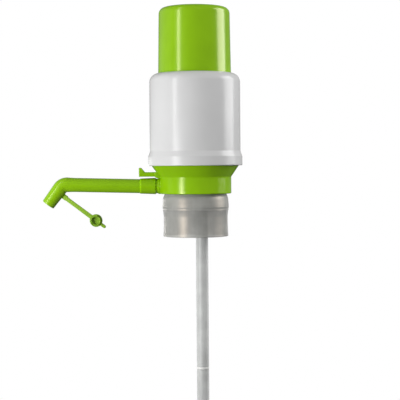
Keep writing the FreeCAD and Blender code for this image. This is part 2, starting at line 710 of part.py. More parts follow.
def intake_cage():
    """Cage over the intake disc: three legs and a ring that stops the disc's lift."""
    inner = DISC_R + SLIDE_FIT
    outer = inner + CAGE_WALL
    ring_low = PLATE_TOP_Z + 2 * SEAT_GAP + DISC_WALL + DISC_LIFT
    ring = tube(outer, DISC_R - CAGE_OVERLAP, ring_low, ring_low + CAGE_ROOF, 0, INTAKE_Y)
    wall = tube(outer, inner, PLATE_TOP_Z, ring_low + CAGE_ROOF / 2, 0, INTAKE_Y)
    leg_room = Part.makeBox(2 * outer, CAGE_LEG_WIDTH, ring_low + CAGE_ROOF - PLATE_TOP_Z,
                            Vector(0, INTAKE_Y - CAGE_LEG_WIDTH / 2, PLATE_TOP_Z))
    legs = [wall.common(room) for room in around(leg_room, CAGE_LEGS, 0, INTAKE_Y)]
    return joined(ring, *legs)


# ------------------------------------------------------------------ bellows
def bellows():
    """Moulded bellows: a flange on the valve plate, folds, and a closed top with a nipple."""
    fold_low = PLATE_TOP_Z + BELLOWS_NECK
    fold_high = BELLOWS_TOP_Z - BELLOWS_TOP_WALL
    pitch = (fold_high - fold_low) / BELLOWS_FOLDS
    outer = [
        (PLATE_R - 2 * PUSH_FIT, PLATE_TOP_Z),
        (PLATE_R - 2 * PUSH_FIT, CLAMP_Z),
        (BELLOWS_NECK_R, CLAMP_Z),
        (BELLOWS_NECK_R, fold_low - BELLOWS_SHOULDER),
    ]
    inner = [(BELLOWS_NECK_R - BELLOWS_WALL, PLATE_TOP_Z), (BELLOWS_NECK_R - BELLOWS_WALL, fold_low)]
    for fold in range(BELLOWS_FOLDS):
        root_z = fold_low + pitch * (fold + FOLD_ROOT)
        crest_z = fold_low + pitch * (fold + FOLD_CREST)
        outer += [(BELLOWS_ROOT_R, root_z), (BELLOWS_CREST_R, crest_z)]
        inner += [(BELLOWS_ROOT_R - BELLOWS_WALL, root_z), (BELLOWS_CREST_R - BELLOWS_WALL, crest_z)]
    shoulder_r = BELLOWS_ROOT_R + BELLOWS_WALL
    outer += [
        (shoulder_r, fold_high),
        (shoulder_r, BELLOWS_TOP_Z),
        (NIPPLE_R, BELLOWS_TOP_Z),
        (NIPPLE_R, BELLOWS_TOP_Z + NIPPLE_HEIGHT),
        (0, BELLOWS_TOP_Z + NIPPLE_HEIGHT),
    ]
    inner += [(BELLOWS_ROOT_R - BELLOWS_WALL, fold_high), (0, fold_high)]
    return turned(outer + inner[::-1])


def bellows_clamp_ring():
    """Ring screwed into the collar that clamps the bellows' flange on the valve plate."""
    outer = PLATE_R
    inner = outer - CLAMP_WALL
    high = CLAMP_Z + CLAMP_HEIGHT
    return tube(outer, inner, CLAMP_Z, high)


# ------------------------------------------------------------------ shell and cap
def body_shell():
    """White shell screwed over the collar's ring, with a sleeve at its mouth and guide ribs."""
    ring_bore_r = RING_R + 2 * PUSH_FIT
    bore_r = SHELL_R - SHELL_WALL
    mouth_r = CAP_R + MOUTH_CLEARANCE
    sleeve_r = mouth_r + MOUTH_WALL
    roof_z = SHELL_TOP_Z - SHELL_WALL
    band_top = SHELL_Z + BAND_HEIGHT
    shell = turned([
        (ring_bore_r, SHELL_Z),
        Chamfer(BAND_R, SHELL_Z, RIM_EASE),
        (BAND_R, band_top),
        (SHELL_R, band_top + BAND_CONE_HEIGHT),
        Round(SHELL_R, SHELL_TOP_Z - SHELL_FALL, SHELL_ROUND, 0.85),
        Chamfer(mouth_r, SHELL_TOP_Z, RIM_EASE),
        (mouth_r, MOUTH_Z),
        (sleeve_r, MOUTH_Z),
        (sleeve_r, roof_z),
        (bore_r - ROOF_CHAMFER, roof_z),
        (bore_r, roof_z - ROOF_CHAMFER),
        (bore_r, RING_TOP_Z),
        (ring_bore_r, RING_TOP_Z),
    ])
    rib_low = CAP_Z - CAP_STROKE
    rib_high = MOUTH_Z - SLIDE_FIT
    rib = Part.makeBox(RIB_DEPTH + SHELL_WALL / 2, RIB_WIDTH, rib_high - rib_low,
                       Vector(bore_r - RIB_DEPTH, -RIB_WIDTH / 2, rib_low))
    return joined(shell, *around(rib, RIB_COUNT))


def press_cap():
    """Tall cap that is pressed by hand: a drafted cup with a notched guide flange at its foot."""
    top_r = CAP_R - CAP_DRAFT
    flange_r = SHELL_R - SHELL_WALL - SLIDE_FIT
    flange_top = CAP_Z + CAP_FLANGE
    roof_z = CAP_TOP_Z - CAP_WALL
    boss_r = NIPPLE_R + SLIDE_FIT
    cup = turned([
        (CAP_R - CAP_WALL, CAP_Z),
        (flange_r, CAP_Z),
        (flange_r, flange_top),
        (CAP_R, flange_top),
        Round(top_r, CAP_TOP_Z, CAP_ROUND),
        (0, CAP_TOP_Z + CAP_CROWN),
        (0, roof_z),
        Chamfer(top_r - CAP_WALL, roof_z, CAP_ROUND - CAP_WALL),
    ])
    boss_low = roof_z - CAP_BOSS_HEIGHT
    boss = tube(boss_r + CAP_BOSS_WALL, boss_r, boss_low, roof_z + CAP_WALL / 2)
    notch_in = SHELL_R - SHELL_WALL - RIB_DEPTH - SLIDE_FIT
    notch_width = RIB_WIDTH + 2 * SLIDE_FIT
    notch = Part.makeBox(flange_r, notch_width, CAP_FLANGE + 2 * PAST,
                         Vector(notch_in, -notch_width / 2, CAP_Z - PAST))
    return joined(cup, boss).cut(around(notch, RIB_COUNT))


# ------------------------------------------------------------------ spout
def spout_coupling():
    """Sleeve against the collar's boss: its spigot seals in the duct, and the spout turns in it."""
    spigot_r = COUPLING_SPIGOT_R
    seal_x = COUPLING_END_X - SEAL_FROM_END
    groove_r = spigot_r - GROOVE_DEPTH
    socket_x = SLEEVE_END_X + SLEEVE_SOCKET
    return turned_on_duct([
        (COUPLING_END_X, COUPLING_BORE_R),
        (COUPLING_END_X, spigot_r),
        (seal_x + O_RING / 2, spigot_r),
        (seal_x + O_RING / 2, groove_r),
        (seal_x - O_RING / 2, groove_r),
        (seal_x - O_RING / 2, spigot_r),
        (SLEEVE_X, spigot_r),
        Chamfer(SLEEVE_X, SLEEVE_R + SLEEVE_TAPER, EDGE_EASE),
        Chamfer(SLEEVE_END_X, SLEEVE_R, SLEEVE_ROUND),
        (SLEEVE_END_X, SLEEVE_BORE_R),
        (socket_x, SLEEVE_BORE_R),
        (socket_x, COUPLING_BORE_R),
    ])


def coupling_seal():
    """Seal on the coupling's spigot, in the duct."""
    inner = COUPLING_SPIGOT_R - GROOVE_DEPTH
    return axial_seal(inner, DUCT_SOCKET_R, COUPLING_END_X - SEAL_FROM_END)


def spout_frame():
    """Directions of the spout's two legs and the corner where their axes meet."""
    rise = radians(SPOUT_RISE)
    drop = radians(SPOUT_DROP)
    level = Vector(-cos(rise), 0, sin(rise))
    down = Vector(-cos(drop), 0, -sin(drop))
    corner = Vector(SPOUT_X, 0, DUCT_Z) + level * SPOUT_REACH
    return level, down, corner


def spout_run(start_r, bend_r, end_r, extra):
    """The spout's path as a solid: a level leg, the bend and the short leg, of given radii."""
    level, down, corner = spout_frame()
    turn = SPOUT_RISE + SPOUT_DROP
    bend = ELBOW_R + INNER_CORNER_R
    tangent = bend * tan(radians(turn / 2))
    foot = Vector(SPOUT_X, 0, DUCT_Z)
    bend_start = corner - level * tangent
    bend_end = corner + down * tangent
    leg = taper(start_r, bend_r, SPOUT_REACH - tangent, foot, level)
    inward = Vector(-sin(radians(SPOUT_RISE)), 0, -cos(radians(SPOUT_RISE)))
    ring = Part.Face(Part.Wire(Part.makeCircle(bend_r, bend_start, level)))
    elbow = ring.revolve(bend_start + inward * bend, Vector(0, -1, 0), turn)
    drop = taper(bend_r, end_r, DROP_LENGTH - tangent + extra, bend_end, down)
    return joined(leg, elbow, drop)


def at_elbow(shape):
    """Puts a shape from the elbow's frame in place: x leaves the short leg's inner side and -z
    runs along that leg, from the corner of the two axes."""
    shape.rotate(Vector(0, 0, 0), Vector(0, 1, 0), 90 - SPOUT_DROP)
    shape.translate(spout_frame()[2])
    return shape


def peg_place():
    """The strap's peg in the elbow's frame."""
    return ELBOW_R + LUG_R + SLIDE_FIT, -STRAP_FROM_CORNER


def spout_lug():
    """Flat lug on the inner side of the short leg, with a round end."""
    x, z = peg_place()
    arm = block(TIP_R - TIP_WALL / 3, x, LUG_WALL / 2, z - LUG_R, z + LUG_R)
    return at_elbow(joined(arm, rod_y(LUG_R, -LUG_WALL / 2, LUG_WALL / 2, x, z)))


def spout_tube():
    """Bent spout with its spigot, which turns in the coupling, and the lug for the strap."""
    seal_x = SPOUT_X + SPOUT_SPIGOT - SPOUT_SEAL_FROM_END
    groove_r = SPOUT_SPIGOT_R - GROOVE_DEPTH
    spigot = turned_on_duct([
        (SPOUT_X + SPOUT_SPIGOT, 0),
        (SPOUT_X + SPOUT_SPIGOT, SPOUT_SPIGOT_R),
        (seal_x + O_RING / 2, SPOUT_SPIGOT_R),
        (seal_x + O_RING / 2, groove_r),
        (seal_x - O_RING / 2, groove_r),
        (seal_x - O_RING / 2, SPOUT_SPIGOT_R),
        (SPOUT_X - PAST, SPOUT_SPIGOT_R),
        (SPOUT_X - PAST, 0),
    ])
    body = joined(spout_run(SPOUT_R, ELBOW_R, TIP_R, 0), spigot, spout_lug())
    x, z = peg_place()
    peg_hole = at_elbow(rod_y(PEG_R + PUSH_FIT, -LUG_WALL, LUG_WALL, x, z))
    spigot_bore = rod_x(WATER_BORE_R, SPOUT_X - PAST, SPOUT_X + SPOUT_SPIGOT + PAST)
    bore = spout_run(LEG_BORE_R, TIP_BORE_R, TIP_BORE_R, PAST)
    return body.cut([spigot_bore, bore, peg_hole])


def spout_seal():
    """Seal on the spout's spigot, in the coupling's sleeve."""
    inner = SPOUT_SPIGOT_R - GROOVE_DEPTH
    return axial_seal(inner, SLEEVE_BORE_R, SPOUT_X + SPOUT_SPIGOT - SPOUT_SEAL_FROM_END)


def stopper_strap():
    """Strap with a snap peg at one end and the spout's hollow plug and pull tab at the other."""
    x, z = peg_place()
    plug_x = x + STRAP_LENGTH
    near = -LUG_WALL / 2 - PUSH_FIT
    far = near - STRAP_WALL
    strap = Part.makeBox(STRAP_LENGTH, STRAP_WALL, STRAP_WIDTH, Vector(x, far, z - STRAP_WIDTH / 2))
    root = rod_y(LUG_R, far, near, x, z)
    flange = rod_y(PLUG_FLANGE_R, far, near, plug_x, z)
    skirt = rod_y(TIP_BORE_R - PUSH_FIT, far - PLUG_DEPTH, near, plug_x, z)
    tab = Part.makeBox(TAB_REACH - TAB_WIDTH / 2, STRAP_WALL, TAB_WIDTH,
                       Vector(plug_x, far, z - TAB_WIDTH / 2))
    tab_end = rod_y(TAB_WIDTH / 2, far, near, plug_x + TAB_REACH - TAB_WIDTH / 2, z)
    peg = rod_y(PEG_R, near - STRAP_WALL / 2, LUG_WALL / 2 + 2 * PUSH_FIT, x, z)
    head_y = LUG_WALL / 2 + PUSH_FIT
    head = rod_y(PEG_R + PEG_HEAD, head_y, head_y + PEG_HEAD * 1.5, x, z)
    body = joined(strap, root, flange, skirt, tab, tab_end, peg, head)
    cup = rod_y(TIP_BORE_R - PUSH_FIT - PLUG_WALL, far - PLUG_DEPTH - PAST, far, plug_x, z)
    return at_elbow(body.cut(cup))


# ------------------------------------------------------------------ relief lever
def relief_lever():
    """Bar on a pin in the collar's ears: pressing its outer end lifts the inner paddle."""
    tip_x = SLEEVE_END_X - LEVER_OVERHANG
    paddle_in_x = RELIEF_X - PADDLE_LENGTH / 2
    bar_end_x = paddle_in_x + EDGE_EASE
    bar = prism([
        Chamfer(tip_x, LEVER_Z, EDGE_EASE),
        Chamfer(tip_x, LEVER_TOP_Z + FIN_HEIGHT, EDGE_EASE),
        Chamfer(tip_x + FIN_TOP, LEVER_TOP_Z + FIN_HEIGHT, EDGE_EASE),
        Chamfer(tip_x + FIN_LENGTH, LEVER_TOP_Z, RIM_EASE),
        Chamfer(bar_end_x, LEVER_TOP_Z, EDGE_EASE),
        Chamfer(bar_end_x, LEVER_Z, EDGE_EASE),
    ], LEVER_WIDTH / 2)
    half = RELIEF_PORT_Y + RELIEF_PORT_R + PADDLE_EDGE
    paddle = block(paddle_in_x, paddle_in_x + PADDLE_LENGTH, half, PADDLE_Z, PADDLE_TOP_Z)
    pin_hole = rod_y(PIN_R + TURN_FIT, -LEVER_WIDTH, LEVER_WIDTH, PIN_X, PIN_Z)
    channel = rod_x(LEVER_Z - DUCT_Z + LEVER_CHANNEL, tip_x - PAST, PIN_X - EAR_R)
    return joined(bar, paddle).cut([pin_hole, channel])


def relief_pad():
    """Rubber pad under the lever's paddle that shuts both relief ports."""
    half = RELIEF_PORT_Y + RELIEF_PORT_R + PADDLE_EDGE / 2
    reach = RELIEF_PORT_R + PAD_EDGE
    return block(RELIEF_X - reach, RELIEF_X + reach, half, PADDLE_Z - PAD_WALL, PADDLE_Z)


def lever_pin():
    """Pin through the collar's ears and the lever."""
    return rod_y(PIN_R, -EAR_OUT_Y, EAR_OUT_Y, PIN_X, PIN_Z)


def relief_spring():
    """Coil spring between the lever's paddle and the valve plate, round the plate's peg."""
    low = PADDLE_TOP_Z + SPRING_WIRE / 2 + SEAT_GAP
    height = PLATE_Z - SEAT_GAP - SPRING_WIRE / 2 - low
    helix = Part.makeHelix(height / SPRING_TURNS, height, SPRING_R)
    half = SPRING_WIRE / 2
    section = [(SPRING_R - half, -half), (SPRING_R + half, -half), (SPRING_R + half, half),
               (SPRING_R - half, half)]
    start = outline(section, lambda radius, z: Vector(radius, 0, z)).OuterWire
    coil = Part.Wire(helix.Edges).makePipeShell([start], True, True)
    coil.translate(Vector(RELIEF_X, 0, low))
    return coil


# ------------------------------------------------------------------ dip tube
def dip_tube(piece):
    """One length of the dip tube, counted from the top; the last one ends in the foot."""
    high = TUBE_TOP_Z - piece * (TUBE_PIECE + CONNECTOR_FLANGE)
    low = high - TUBE_PIECE if piece < TUBE_PIECES - 1 else TUBE_END_Z
    return tube(DIP_R, DIP_R - DIP_WALL, low, high, DIP_X)


def tube_connector(joint):
    """Flush connector between two lengths of the dip tube."""
    high = TUBE_TOP_Z - (joint + 1) * TUBE_PIECE - joint * CONNECTOR_FLANGE
    low = high - CONNECTOR_FLANGE
    spigot_r = DIP_R - DIP_WALL - TURN_FIT
    bore_r = spigot_r - CONNECTOR_WALL
    return turned([
        (bore_r, low - CONNECTOR_SPIGOT),
        (spigot_r, low - CONNECTOR_SPIGOT),
        (spigot_r, low),
        (DIP_R, low),
        (DIP_R, high),
        (spigot_r, high),
        (spigot_r, high + CONNECTOR_SPIGOT),
        (bore_r, high + CONNECTOR_SPIGOT),
    ], DIP_X)


def tube_foot():
    """Strainer cap on the dip tube's end, with slots so that the tube can stand on the bottom."""
    bore_r = DIP_R + TURN_FIT
    outer = bore_r + FOOT_WALL
    high = FOOT_HEIGHT - DIP_DEPTH
    cup = turned([
        (DIP_R - DIP_WALL, -DIP_DEPTH),
        Chamfer(outer, -DIP_DEPTH, EDGE_EASE),
        (outer, high),
        (bore_r, high),
        (bore_r, TUBE_END_Z),
        (DIP_R - DIP_WALL, TUBE_END_Z),
    ], DIP_X)
    slot = Part.makeBox(2 * outer, SLOT_WIDTH, SLOT_DEPTH + PAST,
                        Vector(DIP_X, -SLOT_WIDTH / 2, -DIP_DEPTH - PAST))
    return cup.cut(around(slot, SLOT_COUNT, DIP_X))


# ------------------------------------------------------------------ all the pieces
PIECES = {
    "neck_adaptor": neck_adaptor,
    "neck_gasket": neck_gasket,
    "adaptor_nut": adaptor_nut,
    "base_collar": base_collar,
    "water_manifold": water_manifold,
    "manifold_o_ring": manifold_o_ring,
    "valve_plate": valve_plate,
    "air_duct_seal": air_duct_seal,
    "plate_screws": plate_screws,
    "delivery_duckbill": delivery_duckbill,
    "intake_disc": intake_disc,
    "intake_cage": intake_cage,
    "bellows": bellows,
    "bellows_clamp_ring": bellows_clamp_ring,
    "body_shell": body_shell,
    "press_cap": press_cap,
    "spout_coupling": spout_coupling,
    "coupling_seal": coupling_seal,
    "spout_tube": spout_tube,
    "spout_seal": spout_seal,
    "stopper_strap": stopper_strap,
    "relief_lever": relief_lever,
    "relief_pad": relief_pad,
    "lever_pin": lever_pin,
    "relief_spring": relief_spring,
    "dip_tube_upper": lambda: dip_tube(0),
    "dip_tube_middle": lambda: dip_tube(1),
    "dip_tube_lower": lambda: dip_tube(2),
    "tube_connector_upper": lambda: tube_connector(0),
    "tube_connector_lower": lambda: tube_connector(1),
    "tube_foot": tube_foot,
}

os.makedirs("parts", exist_ok=True)
for name, make in PIECES.items():
    make().exportStep("parts/" + name + ".step")
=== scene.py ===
"""Water jug hand pump: its visible parts in full detail, built round its CAD frame.

Outlines are in millimetres in the part's own frame: +Z runs up the pump's axis, the spout
points along -X, and the origin lies in the plane of the jug's lip.
"""
from math import atan2, ceil, cos, degrees, pi, radians, sin, tan

import bmesh
import bpy
from mathutils import Matrix, Vector


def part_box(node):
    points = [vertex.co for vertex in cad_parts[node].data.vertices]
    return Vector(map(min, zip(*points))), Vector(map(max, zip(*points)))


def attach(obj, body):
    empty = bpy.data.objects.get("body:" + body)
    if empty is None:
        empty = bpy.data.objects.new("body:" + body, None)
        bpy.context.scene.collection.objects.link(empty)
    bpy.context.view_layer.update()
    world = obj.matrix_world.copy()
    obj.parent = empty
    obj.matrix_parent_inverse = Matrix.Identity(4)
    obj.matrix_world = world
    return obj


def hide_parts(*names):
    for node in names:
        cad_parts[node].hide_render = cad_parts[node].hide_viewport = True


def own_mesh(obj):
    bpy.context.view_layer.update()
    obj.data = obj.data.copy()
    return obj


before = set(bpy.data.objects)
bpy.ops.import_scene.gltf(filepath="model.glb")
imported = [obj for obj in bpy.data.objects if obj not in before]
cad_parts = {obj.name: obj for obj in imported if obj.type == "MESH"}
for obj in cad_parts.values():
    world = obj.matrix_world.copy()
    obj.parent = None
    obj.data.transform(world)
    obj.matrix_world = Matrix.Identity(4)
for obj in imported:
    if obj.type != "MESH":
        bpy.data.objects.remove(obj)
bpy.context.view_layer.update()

bl_info = {
    "name": "Water Jug Hand Pump",
    "version": (1, 0, 0),
    "blender": (4, 5, 0),
    "location": "3D View > Sidebar > Pump",
    "description": "Builds the visible parts and finishes of a hand pump for a water jug",
    "category": "Add Mesh",
}

MM = 0.001
SHARP = radians(32)        # edges that turn by more than this stay crisp
HOLD = 0.25                # width of the strip that keeps a face flat beside a rounded edge


def span(node, axis):
    """Lowest and highest coordinate of a CAD node along an axis, in millimetres."""
    low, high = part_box(node)
    return low[axis] / MM, high[axis] / MM


# ---------------------------------------------------------------- places read from the frame
CAP_Z, CAP_PEAK_Z = span("press_cap", 2)
SHELL_Z, SHELL_TOP_Z = span("body_shell", 2)
NECK_Z, RING_TOP_Z = span("base_collar", 2)
SKIRT_Z, FLOOR_Z = span("neck_adaptor", 2)
GASKET_Z, GASKET_TOP_Z = span("neck_gasket", 2)
NUT_TOP_Z = span("adaptor_nut", 2)[1]
PLATE_TOP_Z = span("bellows", 2)[0]
CLAMP_Z = span("bellows_clamp_ring", 2)[0]
BELLOWS_PEAK_Z = span("bellows", 2)[1]
SLEEVE_END_X, COUPLING_END_X = span("spout_coupling", 0)
DUCT_Z = sum(span("spout_coupling", 2)) / 2
PIN_X = sum(span("lever_pin", 0)) / 2
PIN_Z = sum(span("lever_pin", 2)) / 2
PIN_END_Y = span("lever_pin", 1)[1]
LEVER_Z = PIN_Z - 1.7      # the lever's underside
SPRING_X = sum(span("relief_pad", 0)) / 2
SPRING_Z, SPRING_TOP_Z = span("relief_spring", 2)
DIP_X = sum(span("dip_tube_upper", 0)) / 2
FLOOR_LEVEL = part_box("tube_foot")[0].z

# ---------------------------------------------------------------- fits between the pieces
CAP_TRAVEL = 48.0          # how far the cap goes down into the shell
SLIDE_FIT = 0.3            # play between the cap and the shell
RIB = 1.8                  # depth of the shell's inner ribs, which the cap's flange is notched for
RIB_HALF = 1.5             # and half their width
AIR_Y = 12.0               # axis of the air tube
INTAKE_Y = -13.0           # axis of the intake valve
SEAL_HALF = 0.8            # half the width of a groove for a seal
AXLE = 1.0                 # radius of the lever's pin
PAST = 9.0                 # how far a tool for the pin's holes reaches to each side
THIRDS = [2 * pi * index / 3 for index in range(3)]    # of the ribs, the posts and the slots


def length(name, millimetres, description):
    """A length that a user may change."""
    return bpy.props.FloatProperty(name=name, description=description, unit="LENGTH",
                                   default=millimetres * MM, min=0, precision=4)


def colour(name, red, green, blue, description):
    """A colour that a user may change."""
    return bpy.props.FloatVectorProperty(name=name, description=description, subtype="COLOR",
                                         size=3, min=0, max=1, default=(red, green, blue))


class PumpSizes(bpy.types.PropertyGroup):
    """Sizes of the pump's visible parts."""
    cap_foot: length("Cap foot", 32.9, "Radius of the press cap where it leaves the shell")
    cap_top: length("Cap top", 31.7, "Radius of the press cap under its rounded rim")
    cap_rim: length("Cap rim", 5.6, "Rounding of the press cap's rim")
    cap_wall: length("Cap wall", 1.8, "Wall of the press cap")
    cap_crown: length("Cap crown", 0.4, "Rise of the press cap's roof at its centre")
    shell: length("Shell", 40.7, "Radius of the white shell")
    shell_wall: length("Shell wall", 2.2, "Wall of the white shell")
    shell_shoulder: length("Shell shoulder", 8.0, "Rounding of the shell's shoulder")
    shell_fall: length("Shell fall", 1.9, "From the mouth's rim down to the shoulder's corner")
    shell_mouth: length("Shell mouth", 33.6, "Radius of the mouth that the cap slides in")
    band: length("Band", 42.3, "Radius of the shell's wider foot")
    band_height: length("Band height", 8.3, "Height of the shell's wider foot")
    band_slope: length("Band slope", 4.6, "Height over which the band runs out into the shell")
    collar: length("Collar", 32.2, "Radius of the base collar's straight part")
    collar_height: length("Collar height", 15.0, "Height of the collar's straight part")
    collar_wall: length("Collar wall", 2.2, "Wall of the base collar")
    funnel: length("Funnel", 39.1, "Radius of the base collar's ring inside the shell")
    sleeve: length("Sleeve", 6.75, "Radius of the spout's coupling at its outer end")
    sleeve_flare: length("Sleeve flare", 0.6, "How much wider the coupling is at its root")
    boss: length("Boss", 7.8, "Radius of the collar's boss behind the coupling")
    spout_root: length("Spout root", 6.3, "Radius of the spout at the coupling")
    spout_bend: length("Spout bend", 6.6, "Radius of the spout at its bend")
    spout_tip: length("Spout tip", 5.9, "Radius of the spout at its tip")
    spout_reach: length("Spout reach", 68.9, "Long leg of the spout, up to the bend's corner")
    spout_drop: length("Spout drop", 22.4, "Short leg of the spout, from the bend's corner")
    strap_width: length("Strap width", 4.1, "Width of the stopper's strap")
    strap_length: length("Strap length", 34.0, "From the strap's peg to the plug")
    plug_flange: length("Plug flange", 5.75, "Radius of the stopper's flange")
    lever_width: length("Lever width", 9.0, "Width of the relief lever")
    lever_wall: length("Lever wall", 4.1, "Height of the relief lever's bar")
    skirt: length("Skirt", 28.75, "Radius of the neck adaptor's skirt")
    skirt_bulge: length("Skirt bulge", 29.75, "Radius of the neck adaptor's shoulder")
    crown: length("Jug crown", 27.5, "Radius of the jug's crown, which the skirt grips")
    tube: length("Dip tube", 5.5, "Radius of the dip tube")
    tube_wall: length("Dip tube wall", 1.3, "Wall of the dip tube")


class PumpColours(bpy.types.PropertyGroup):
    """Colours of the pump's plastics and rubbers."""
    lime: colour("Lime", 0.24, 0.48, 0.002, "Moulded lime green parts")
    soft_lime: colour("Soft lime", 0.235, 0.43, 0.025, "Soft lime green strap")
    shell: colour("Shell", 0.605, 0.605, 0.605, "Grey-white body shell")
    inner: colour("Inner parts", 0.74, 0.74, 0.72, "White moulded inner parts")
    skirt: colour("Skirt", 0.375, 0.38, 0.36, "Milky neck adaptor")
    tube: colour("Dip tube", 0.62, 0.63, 0.62, "Milky dip tube")
    rubber: colour("Rubber", 0.025, 0.025, 0.027, "Black seals")
    silicone: colour("Silicone", 0.62, 0.61, 0.58, "Pale gasket and valves")
    steel: colour("Steel", 0.56, 0.56, 0.57, "Pin, spring and screws")


class Millimetres:
    """Reads a group of lengths in millimetres."""

    def __init__(self, group):
        self.group = group

    def __getattr__(self, name):
        return getattr(self.group, name) / MM


def sizes():
    """The pump's sizes, in millimetres."""
    return Millimetres(bpy.context.scene.pump_sizes)


# ---------------------------------------------------------------- shader maths
class Link:
    """A shader socket that Python's operators combine through Math nodes."""

    def __init__(self, tree, socket):
        self.tree = tree
        self.socket = socket

    def math(self, operation, *values):
        """Adds a Math node on these values."""
        return self.tree.node("ShaderNodeMath", {"operation": operation}, dict(enumerate(values)))

    def __add__(self, other):
        return self.math("ADD", self, other)

    def __radd__(self, other):
        return self.math("ADD", other, self)

    def __sub__(self, other):
        return self.math("SUBTRACT", self, other)

    def __rsub__(self, other):
        return self.math("SUBTRACT", other, self)

    def __mul__(self, other):
        return self.math("MULTIPLY", self, other)

    def __rmul__(self, other):
        return self.math("MULTIPLY", other, self)

    def __abs__(self):
        return self.math("ABSOLUTE", self)


class NodeTree:
    """Nodes of a material or of the world."""

    def __init__(self, owner):
        owner.use_nodes = True
        self.nodes = owner.node_tree.nodes
        self.links = owner.node_tree.links

    def feed(self, socket, value):
        """Sets a socket, or links a Link to it."""
        if isinstance(value, Link):
            self.links.new(value.socket, socket)
        elif isinstance(value, tuple) and len(value) == 3 and socket.type == "RGBA":
            socket.default_value = (*value, 1)
        else:
            socket.default_value = value

    def node(self, kind, settings, inputs, output=0):
        """Adds a node: its settings first, then its sockets."""
        node = self.nodes.new(kind)
        for name, value in settings.items():
            setattr(node, name, value)
        for name, value in inputs.items():
            self.feed(node.inputs[name], value)
        return Link(self, node.outputs[output])


class Finish(NodeTree):
    """A procedural material on the Principled shader."""

    def __init__(self, name):
        self.material = bpy.data.materials.new(name)
        super().__init__(self.material)
        self.shader = self.nodes["Principled BSDF"]
        self.place = self.node("ShaderNodeTexCoord", {}, {}, "Object")

    def surface(self, **sockets):
        """Feeds the Principled shader; an underscore in a name stands for a space."""
        for name, value in sockets.items():
            self.feed(self.shader.inputs[name.replace("_", " ")], value)

    def stretched(self, x, y, z):
        """The surface's place, scaled along each axis."""
        return self.node("ShaderNodeVectorMath", {"operation": "MULTIPLY"},
                         {0: self.place, 1: (x, y, z)})

    def noise(self, scale, detail=2.0, place=None):
        """Smooth noise from 0 to 1; scale is in cycles a metre."""
        return self.node("ShaderNodeTexNoise", {},
                         {"Vector": place or self.place, "Scale": scale, "Detail": detail})

    def coordinate(self, axis):
        """The surface's x, y or z, for axis 0, 1 or 2, in metres."""
        return self.node("ShaderNodeSeparateXYZ", {}, {0: self.place}, axis)

    def between(self, value, low, high):
        """A soft step from 0 at low to 1 at high."""
        return self.node("ShaderNodeMapRange", {"interpolation_type": "SMOOTHSTEP"},
                         {"Value": value, "From Min": low, "From Max": high})

    def mix(self, mask, first, second):
        """A colour between two."""
        return self.node("ShaderNodeMix", {"data_type": "RGBA"},
                         {0: mask, 6: first, 7: second}, 2)

    def relief(self, height, strength, depth, edge):
        """Bump over edges that are eased in the shading."""
        eased = self.node("ShaderNodeBevel", {"samples": 4}, {"Radius": edge * MM})
        return self.node("ShaderNodeBump", {},
                         {"Strength": strength, "Distance": depth * MM, "Height": height,
                          "Normal": eased})


def shade(tint, factor):
    """A colour made darker or lighter."""
    return tuple(min(1.0, channel * factor) for channel in tint)


def moulded(name, tint, roughness, swing=0.06, peel=0.05, edge=0.25, scuffed=None, seam=False,
            painted_highlight_x=None, **sockets):
    """Injection-moulded plastic: faint flow in the colour, an orange-peel gloss and smudges.
    Scuffed gives the heights between which sliding has left fine upright scratches. Left of the
    x given for the sleeve's end, the colour is painted paler: a painted highlight on the rounded
    end."""
    finish = Finish(name)
    flow = finish.noise(22, 3)
    grain = finish.noise(900, 2)
    smudge = finish.between(finish.noise(30, 1.5), 0.45, 0.85)
    base = finish.mix(finish.between(flow, 0.3, 0.7), shade(tint, 1 - swing),
                      shade(tint, 1 + swing))
    rough = roughness + smudge * 0.05
    height = finish.noise(420, 1) * 0.6 + grain * 0.15
    if scuffed:
        streaks = finish.noise(1, 2, finish.stretched(2600, 2600, 26))
        z = finish.coordinate(2)
        zone = (finish.between(z, scuffed[0] * MM, (scuffed[0] + 14) * MM)
                * (1 - finish.between(z, (scuffed[1] - 30) * MM, scuffed[1] * MM)))
        scuff = finish.between(streaks, 0.60, 0.74) * zone
        rough = rough + scuff * 0.02
        base = finish.mix(scuff * 0.10, base, shade(tint, 1.5))
    # Painted highlight: left of the given x the base colour is painted 1.32 times lighter, standing
    # in for the light line on the sleeve's rounded end.
    if painted_highlight_x is not None:
        lip = 1 - finish.between(finish.coordinate(0), (painted_highlight_x - 0.3) * MM, (painted_highlight_x + 0.3) * MM)
        base = finish.mix(lip, base, shade(tint, 1.32))
    if seam:
        ridge = 1 - finish.between(abs(finish.coordinate(1)), 0.05 * MM, 0.22 * MM)
        height = height + ridge * 0.5
    finish.surface(Base_Color=base, Roughness=rough,
                   Normal=finish.relief(height, peel, 0.12, edge), **sockets)
    return finish.material


def milky(name, tint, clear, thick, roughness, levels=(), **sockets):
    """Translucent moulded plastic: cloudier where the wall is thick, with faint draw lines.
    Levels are heights of rings where the wall is thicker."""
    finish = Finish(name)
    cloud = finish.noise(60, 4)
    lines = finish.noise(1, 3, finish.stretched(900, 900, 18))
    z = finish.coordinate(2)
    alpha = clear + (cloud - 0.5) * 0.16 + (lines - 0.5) * 0.10
    for low, high in levels:
        ring = finish.between(z, low * MM, (low + 1.5) * MM) * (
            1 - finish.between(z, (high - 1.5) * MM, high * MM))
        alpha = alpha + ring * (thick - clear)
    base = finish.mix(finish.between(cloud, 0.3, 0.7), shade(tint, 0.93), shade(tint, 1.07))
    finish.surface(Base_Color=base, Alpha=alpha, Roughness=roughness + (cloud - 0.5) * 0.12,
                   Normal=finish.relief(lines * 0.6 + cloud * 0.4, 0.06, 0.15, 0.2), **sockets)
    return finish.material


